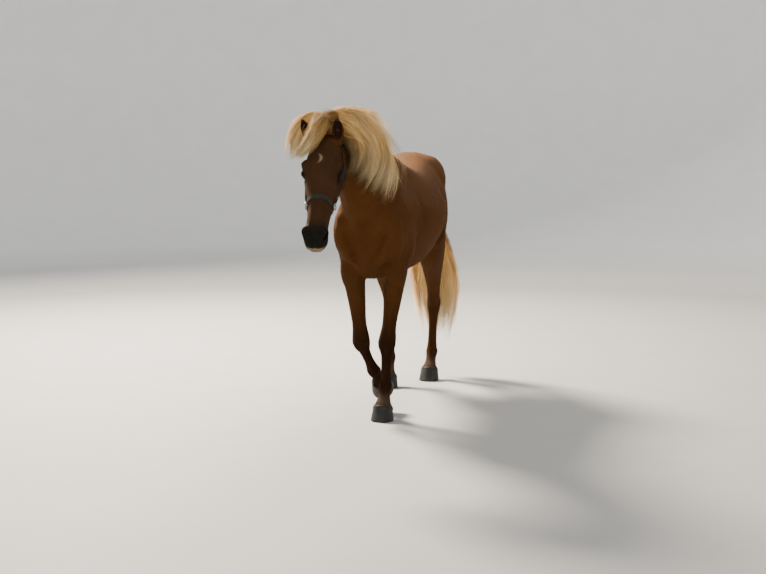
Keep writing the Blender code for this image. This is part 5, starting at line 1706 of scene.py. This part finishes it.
def tail(draw):
    """Long waving strands about the dock, swung to the left."""
    line = refined(TAIL_LINE, 8)
    t = np.linspace(0, 1, TAIL_STEPS)
    count, clumps = TAIL_STRANDS, TAIL_CLUMPS
    owner = draw.integers(0, clumps, count)
    stray = draw.random(count) < STRAY_SHARE
    turn = (2 * math.pi * draw.random(clumps))[owner] + draw.normal(0, 0.14, count)
    start = np.clip(draw.uniform(*TAIL_STARTS, clumps)[owner] + draw.normal(0, 0.012, count), 0.0, 0.42)
    stop = draw.uniform(*TAIL_ENDS, clumps)[owner] * draw.uniform(0.93, 1.0, count)
    spread = (TAIL_SPREAD * draw.random(clumps) ** 0.5)[owner] + draw.normal(0, 0.007, count)
    spread = np.where(stray, spread + 0.018, spread) * draw.uniform(0.86, 1.16, clumps)[owner]
    place = start[:, None] + (stop - start)[:, None] * t
    steps = np.linspace(0, 1, len(line))
    middle = np.stack([np.interp(place, steps, line[:, k]) for k in range(3)], axis=-1)
    rise = np.sin(math.pi / 2 * np.minimum(t / 0.6, 1)) * (1 - 0.35 * t**4)
    full = spread[:, None] * np.interp(place, TAIL_PLACES, TAIL_FULLNESS)
    swell = TAIL_ROOT + (full - TAIL_ROOT) * rise
    phase = draw.uniform(0, 2 * math.pi, clumps)[owner][:, None]
    sway = draw.uniform(*TAIL_SWAY, clumps)[owner][:, None] * t**0.7
    swing = 2 * math.pi * draw.uniform(*TAIL_TURNS, clumps)[owner][:, None] * t + phase
    turn = turn[:, None] + draw.normal(0, 0.12, clumps)[owner][:, None] * t
    offset = np.stack([
        np.sin(turn) * swell + sway * np.sin(swing),
        np.cos(turn) * swell * TAIL_FLATNESS + sway * 0.6 * np.cos(swing),
        0.012 * np.cos(turn) * (1 - t),
    ], axis=-1)
    sizes = (TAIL_FRIZZ, TAIL_STRAY_FRIZZ, TAIL_CLUMP_FRIZZ)
    lines = combed(draw, middle + offset, owner, stray, clumps, sizes)
    ways = unit(np.stack([np.sin(turn) * 0.6, np.cos(turn), np.full_like(turn, 0.05)], axis=-1))
    widths = along_widths(draw, count, TAIL_STEPS, TAIL_WIDTHS)
    widths = widths * np.where(stray, TAIL_STRAY_WIDTH, 1.0)[:, None]
    shade = draw.uniform(*TAIL_SHADES, clumps)[owner] * draw.uniform(0.82, 1.12, count)
    # Painted shade: strands in the middle of the tail browner
    inside = 1 - np.clip(spread / 0.12, 0, 1)
    warm = 0.55 * inside + 0.35 * draw.random(clumps)[owner] * draw.random(count)
    return lines, ways, widths, flaxen(t, shade, warm[:, None], 0.30, 0.6) * TAIL_TONE


# Colours in linear light: horn from its dark to its light places, webbing, steel, floor and wall
HORN_RAMP = ((0.3, (0.006, 0.008, 0.009)), (0.75, (0.026, 0.027, 0.025)))
WEBBING = (0.040, 0.042, 0.036)
STEEL = (0.34, 0.33, 0.31)
FLOOR = (0.32, 0.315, 0.308)
WALL = (0.93, 0.93, 0.92)
WEAVE_SCALE = 110.0


def shader(name, roughness, specular=0.5):
    """A new material with its principled shader."""
    material = bpy.data.materials.new(name)
    material.use_nodes = True
    principled = material.node_tree.nodes["Principled BSDF"]
    principled.inputs["Roughness"].default_value = roughness
    principled.inputs["Specular IOR Level"].default_value = specular
    return material, principled


def added(material, kind, inputs=(), values=(), **settings):
    """A new node with some settings, with sockets joined to its inputs, and with fixed values."""
    node = material.node_tree.nodes.new(kind)
    for setting, value in settings.items():
        setattr(node, setting, value)
    for socket, source in dict(inputs).items():
        material.node_tree.links.new(source, node.inputs[socket])
    for socket, value in dict(values).items():
        node.inputs[socket].default_value = value
    return node


def joined(material, source, principled, socket="Base Color"):
    material.node_tree.links.new(source, principled.inputs[socket])


def noise(material, scale, detail=4.0, stretch=(1, 1, 1)):
    """Noise in the model's own coordinates."""
    place = added(material, "ShaderNodeTexCoord")
    mapping = added(
        material, "ShaderNodeMapping", {"Vector": place.outputs["Object"]}, {"Scale": stretch}
    )
    values = {"Scale": scale, "Detail": detail}
    texture = added(material, "ShaderNodeTexNoise", {"Vector": mapping.outputs["Vector"]}, values)
    return texture.outputs["Fac"]


def ranged(material, value, low, high):
    """A value from 0 to 1 brought to run from low to high."""
    limits = {"To Min": low, "To Max": high}
    return added(material, "ShaderNodeMapRange", {"Value": value}, limits).outputs["Result"]


def scaled(material, colour, factor):
    """A colour made lighter or darker by a factor."""
    inputs = {"Vector": colour, "Scale": factor}
    return added(material, "ShaderNodeVectorMath", inputs, operation="SCALE").outputs["Vector"]


def product(material, kind, first, second):
    """Two values or colours multiplied."""
    node = added(material, kind, {0: first, 1: second}, operation="MULTIPLY")
    return node.outputs[0]


def painted_tint(material):
    return added(material, "ShaderNodeAttribute", attribute_name="tint").outputs["Color"]


def bumped(material, principled, height, distance):
    node = added(material, "ShaderNodeBump", {"Height": height}, {"Distance": distance, "Strength": 1.0})
    joined(material, node.outputs["Normal"], principled, "Normal")


def toned(name, roughness, specular, tones, bump=None):
    """A material in the painted colours, times noises that run from low to high, over a bump."""
    material, principled = shader(name, roughness, specular)
    colour = painted_tint(material)
    for low, high, *texture in tones:
        colour = scaled(material, colour, ranged(material, noise(material, *texture), low, high))
    joined(material, colour, principled)
    if bump:
        distance, *texture = bump
        bumped(material, principled, noise(material, *texture), distance)
    return material


def coat_material():
    """Short hair: the painted coat, broken by fine noise, over a bump of lying hairs."""
    tones = [(0.74, 1.28, 150, 6, (1, 0.25, 1)), (0.70, 1.26, 7, 3)]
    return toned("coat", 0.75, 0.03, tones, (0.0006, 260, 5, (1, 0.2, 0.8)))


def hair_material():
    """Hair strands in their painted colours, with faint streaks."""
    return toned("flaxen_hair", 0.7, 0.03, [(0.8, 1.2, 60, 4, (1, 1, 0.25))])


def eye_material():
    """The wet eyeball: painted colours with fine flecks under a thin clear coat."""
    material = toned("eye", 0.06, 0.05, [(0.8, 1.2, 500, 3)])
    principled = material.node_tree.nodes["Principled BSDF"]
    principled.inputs["Coat Weight"].default_value = 0.05
    principled.inputs["Coat Roughness"].default_value = 0.02
    return material


def floor_material():
    """Matt studio paper with a faint mottle."""
    return toned("floor", 0.7, 0.5, [(0.95, 1.05, 3, 6)], (0.0004, 120, 5))


def horn_material():
    """Dark horn with fine growth lines and scuffs."""
    material, principled = shader("horn", 0.45, 0.25)
    ramp = added(material, "ShaderNodeValToRGB", {"Fac": noise(material, 24, 6, (1, 1, 0.5))})
    for element, (position, colour) in zip(ramp.color_ramp.elements, HORN_RAMP):
        element.position = position
        element.color = (*colour, 1)
    colour = product(material, "ShaderNodeVectorMath", ramp.outputs["Color"], painted_tint(material))
    joined(material, colour, principled)
    joined(material, ranged(material, noise(material, 60, 4), 0.48, 0.72), principled, "Roughness")
    bumped(material, principled, noise(material, 90, 5, (1, 1, 4)), 0.0003)
    return material


def webbing_material():
    """Grey-green webbing: a plain weave, worn in places."""
    material, principled = shader("webbing", 0.82, 0.05)
    place = added(material, "ShaderNodeUVMap", uv_map="weave").outputs["UV"]
    waves = [
        added(material, "ShaderNodeTexWave", {"Vector": place}, {"Scale": WEAVE_SCALE}, bands_direction=axis)
        for axis in "XY"
    ]
    weave = product(material, "ShaderNodeMath", *(wave.outputs["Fac"] for wave in waves))
    base = added(material, "ShaderNodeRGB").outputs[0]
    base.default_value = (*WEBBING, 1)
    shade = ranged(material, weave, 0.55, 1.2)
    worn = ranged(material, noise(material, 40, 5), 0.75, 1.3)
    joined(material, scaled(material, scaled(material, base, shade), worn), principled)
    bumped(material, principled, weave, 0.0006)
    return material


def steel_material():
    """Dull steel with fine scratches."""
    material, principled = shader("steel", 0.3)
    principled.inputs["Metallic"].default_value = 1.0
    principled.inputs["Base Color"].default_value = (*STEEL, 1)
    joined(material, ranged(material, noise(material, 180, 5), 0.2, 0.5), principled, "Roughness")
    bumped(material, principled, noise(material, 300, 4), 0.0002)
    return material


def unwrapped(obj):
    """The skin laid flat, for the places of the tufts."""
    obj.data.uv_layers.new(name="OFBake")
    bpy.context.view_layer.objects.active = obj
    obj.select_set(True)
    bpy.ops.object.mode_set(mode="EDIT")
    bpy.ops.mesh.select_all(action="SELECT")
    bpy.ops.uv.smart_project(angle_limit=1.15, island_margin=0.002)
    bpy.ops.object.mode_set(mode="OBJECT")


def placed(obj, material, slot, *nodes):
    """The piece moved from the design frame to the model's place, with its material and body; the slot is not
    used.
    """
    obj.data.transform(Matrix.Translation(SHIFT))
    obj.data.update()
    obj.data.materials.clear()
    obj.data.materials.append(material)
    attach(obj, "root")
    if nodes:
        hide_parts(*nodes)
    return obj


def node_centre(node):
    low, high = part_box(node)
    return (low + high) / 2


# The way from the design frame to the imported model, from where its left eye lies
SHIFT = node_centre("eye_left") - Vector(on_head(*EYE))

# How far the shading of tufts and long hair follows the way out, and how near to straps and eyes none grow
TUFT_FOLLOW = 0.85
HAIR_FOLLOW = 0.45
STRAP_MARGIN = 0.009
EYE_MARGIN = 1.12

# The skin and the coat on it
body = skin()
unwrapped(body)
surface = tree_of(body.data)
straps = halter(surface)
strap_tree = tree_of(straps.data)


def masked(points):
    """Places under the halter or in the eyes."""
    under = np.array([strap_tree.find_nearest(Vector(p), STRAP_MARGIN)[0] is not None for p in points])
    ratio, _, away = eye_places(mirrored(points)[0])
    return under | (ratio < EYE_MARGIN) & (np.linalg.norm(away, axis=1) < 0.05)


def hair_pieces(name, count, strands, places, follow):
    """The strands in some pieces, numbered in their names."""
    lines, ways, widths, tints = strands
    share = len(lines) // count + 1
    for piece in range(count):
        part = slice(piece * share, (piece + 1) * share)
        parts = (values[part] for values in (lines, ways, widths, tints, places))
        yield strand_mesh(f"{name}_{piece}", *parts, follow)


coat = coat_material()
hair = hair_material()
draw = np.random.default_rng(SEED)
lines, ways, widths, tints, places = tufts(body.data, draw, masked)
strands = (lines, ways[:, None], widths, tints)
for obj in hair_pieces("coat_tufts", TUFT_PIECES, strands, places, TUFT_FOLLOW):
    placed(obj, coat, "torso")

for slot, made, count in (("mane", mane, 2), ("forelock", forelock, 1), ("tail", tail, 2)):
    strands = made(draw)
    roots = skin_roots(body.data, strands[0][:, 0])
    for piece, obj in enumerate(hair_pieces(f"{slot}_hair", count, strands, roots, HAIR_FOLLOW)):
        placed(obj, hair, slot, *([slot] if piece == 0 else []))

painted(body.data, coat_colour(coordinates(body.data)))
placed(body, coat, "torso", "torso", "neck", "head", *LEGS, "ear_left", "ear_right")

horn = horn_material()
for name, (_, joints, pitch) in LEGS.items():
    obj = hoof(f"horn_{name}", joints[3], pitch)
    obj.data.shade_smooth()
    placed(obj, horn, f"hoof_{name}", f"hoof_{name}")

wet = eye_material()
for side, name in ((1, "eye_left"), (-1, "eye_right")):
    placed(eyeball(f"ball_{name}", side), wet, name, name)

steel = steel_material()
for side, name in ((1, "halter_ring_left"), (-1, "halter_ring_right")):
    placed(halter_ring(f"steel_{name}", side, surface), steel, name, name)
placed(straps, webbing_material(), "halter", "halter")

# The floor, a bowl that rises into the wall: distance from the middle and height
FLOOR_PROFILE = [
    (0.01, 0), (3, 0), (6, 0), (9, 0), (10.5, 0.06),
    (12, 0.45), (13.2, 1.4), (13.9, 3.0), (14, 5.0), (14, 8.0),
]
WALL_FROM = (5.0, 11.0)

# Lights: name, place, target, size, power, colour
LIGHTS = [
    ("key", (-3.2, 2.6, 4.6), (0, 0, 1.0), 1.4, 2300, (1.0, 0.90, 0.76)),
    ("rim", (0.5, 5.0, 4.6), (0, -0.4, 1.2), 1.6, 200, (1.0, 0.93, 0.82)),
    ("fill", (1.0, -6.8, 4.2), (0, 0, 0.9), 4.5, 150, (0.98, 0.98, 1.0)),
]
SKY = (0.86, 0.88, 0.90, 1)
SKY_STRENGTH = 0.66

# The camera that matches the photo, in the design frame
CAMERA_PLACE = (1.563, -7.185, 1.436)
CAMERA_TILT = math.radians(83.68)
CAMERA_TURN = math.radians(12.74)
LENS = 63.34
SENSOR = 36


def studio_floor():
    """The floor and the wall behind it in one bowl."""
    bm = bmesh.new()
    rows = []
    for reach, height in FLOOR_PROFILE:
        ring = [(reach * math.cos(angle), reach * math.sin(angle), height) for angle in round_angles(96)]
        rows.append([bm.verts.new(place) for place in ring])
    bm.faces.new(rows[0][::-1])
    for row, following in zip(rows, rows[1:]):
        band(bm, row, following)
    obj = kept("studio_floor", bm, False)
    obj.data.flip_normals()
    obj.data.shade_smooth()
    obj.data.materials.append(floor_material())
    reach = np.linalg.norm(coordinates(obj.data)[:, :2], axis=1)
    painted(obj.data, mix(np.array(FLOOR), WALL, smooth_step(*WALL_FROM, reach)))
    return obj


def light(name, place, target, size, power, colour):
    data = bpy.data.lights.new(name, "AREA")
    data.shape = "DISK"
    data.size = size
    data.energy = power
    data.color = colour
    obj = linked(name, data)
    obj.location = place
    obj.rotation_euler = (Vector(target) - Vector(place)).to_track_quat("-Z", "Y").to_euler()


floor = studio_floor()
for row in LIGHTS:
    light(*row)

world = bpy.data.worlds.new("studio")
world.use_nodes = True
background = world.node_tree.nodes["Background"]
background.inputs["Color"].default_value = SKY
background.inputs["Strength"].default_value = SKY_STRENGTH
bpy.context.scene.world = world

camera_data = bpy.data.cameras.new("camera")
camera_data.lens = LENS
camera_data.sensor_width = SENSOR
camera = linked("camera", camera_data)
camera.location = Vector(CAMERA_PLACE) + SHIFT
camera.rotation_euler = (CAMERA_TILT, 0, CAMERA_TURN)
bpy.context.scene.camera = camera
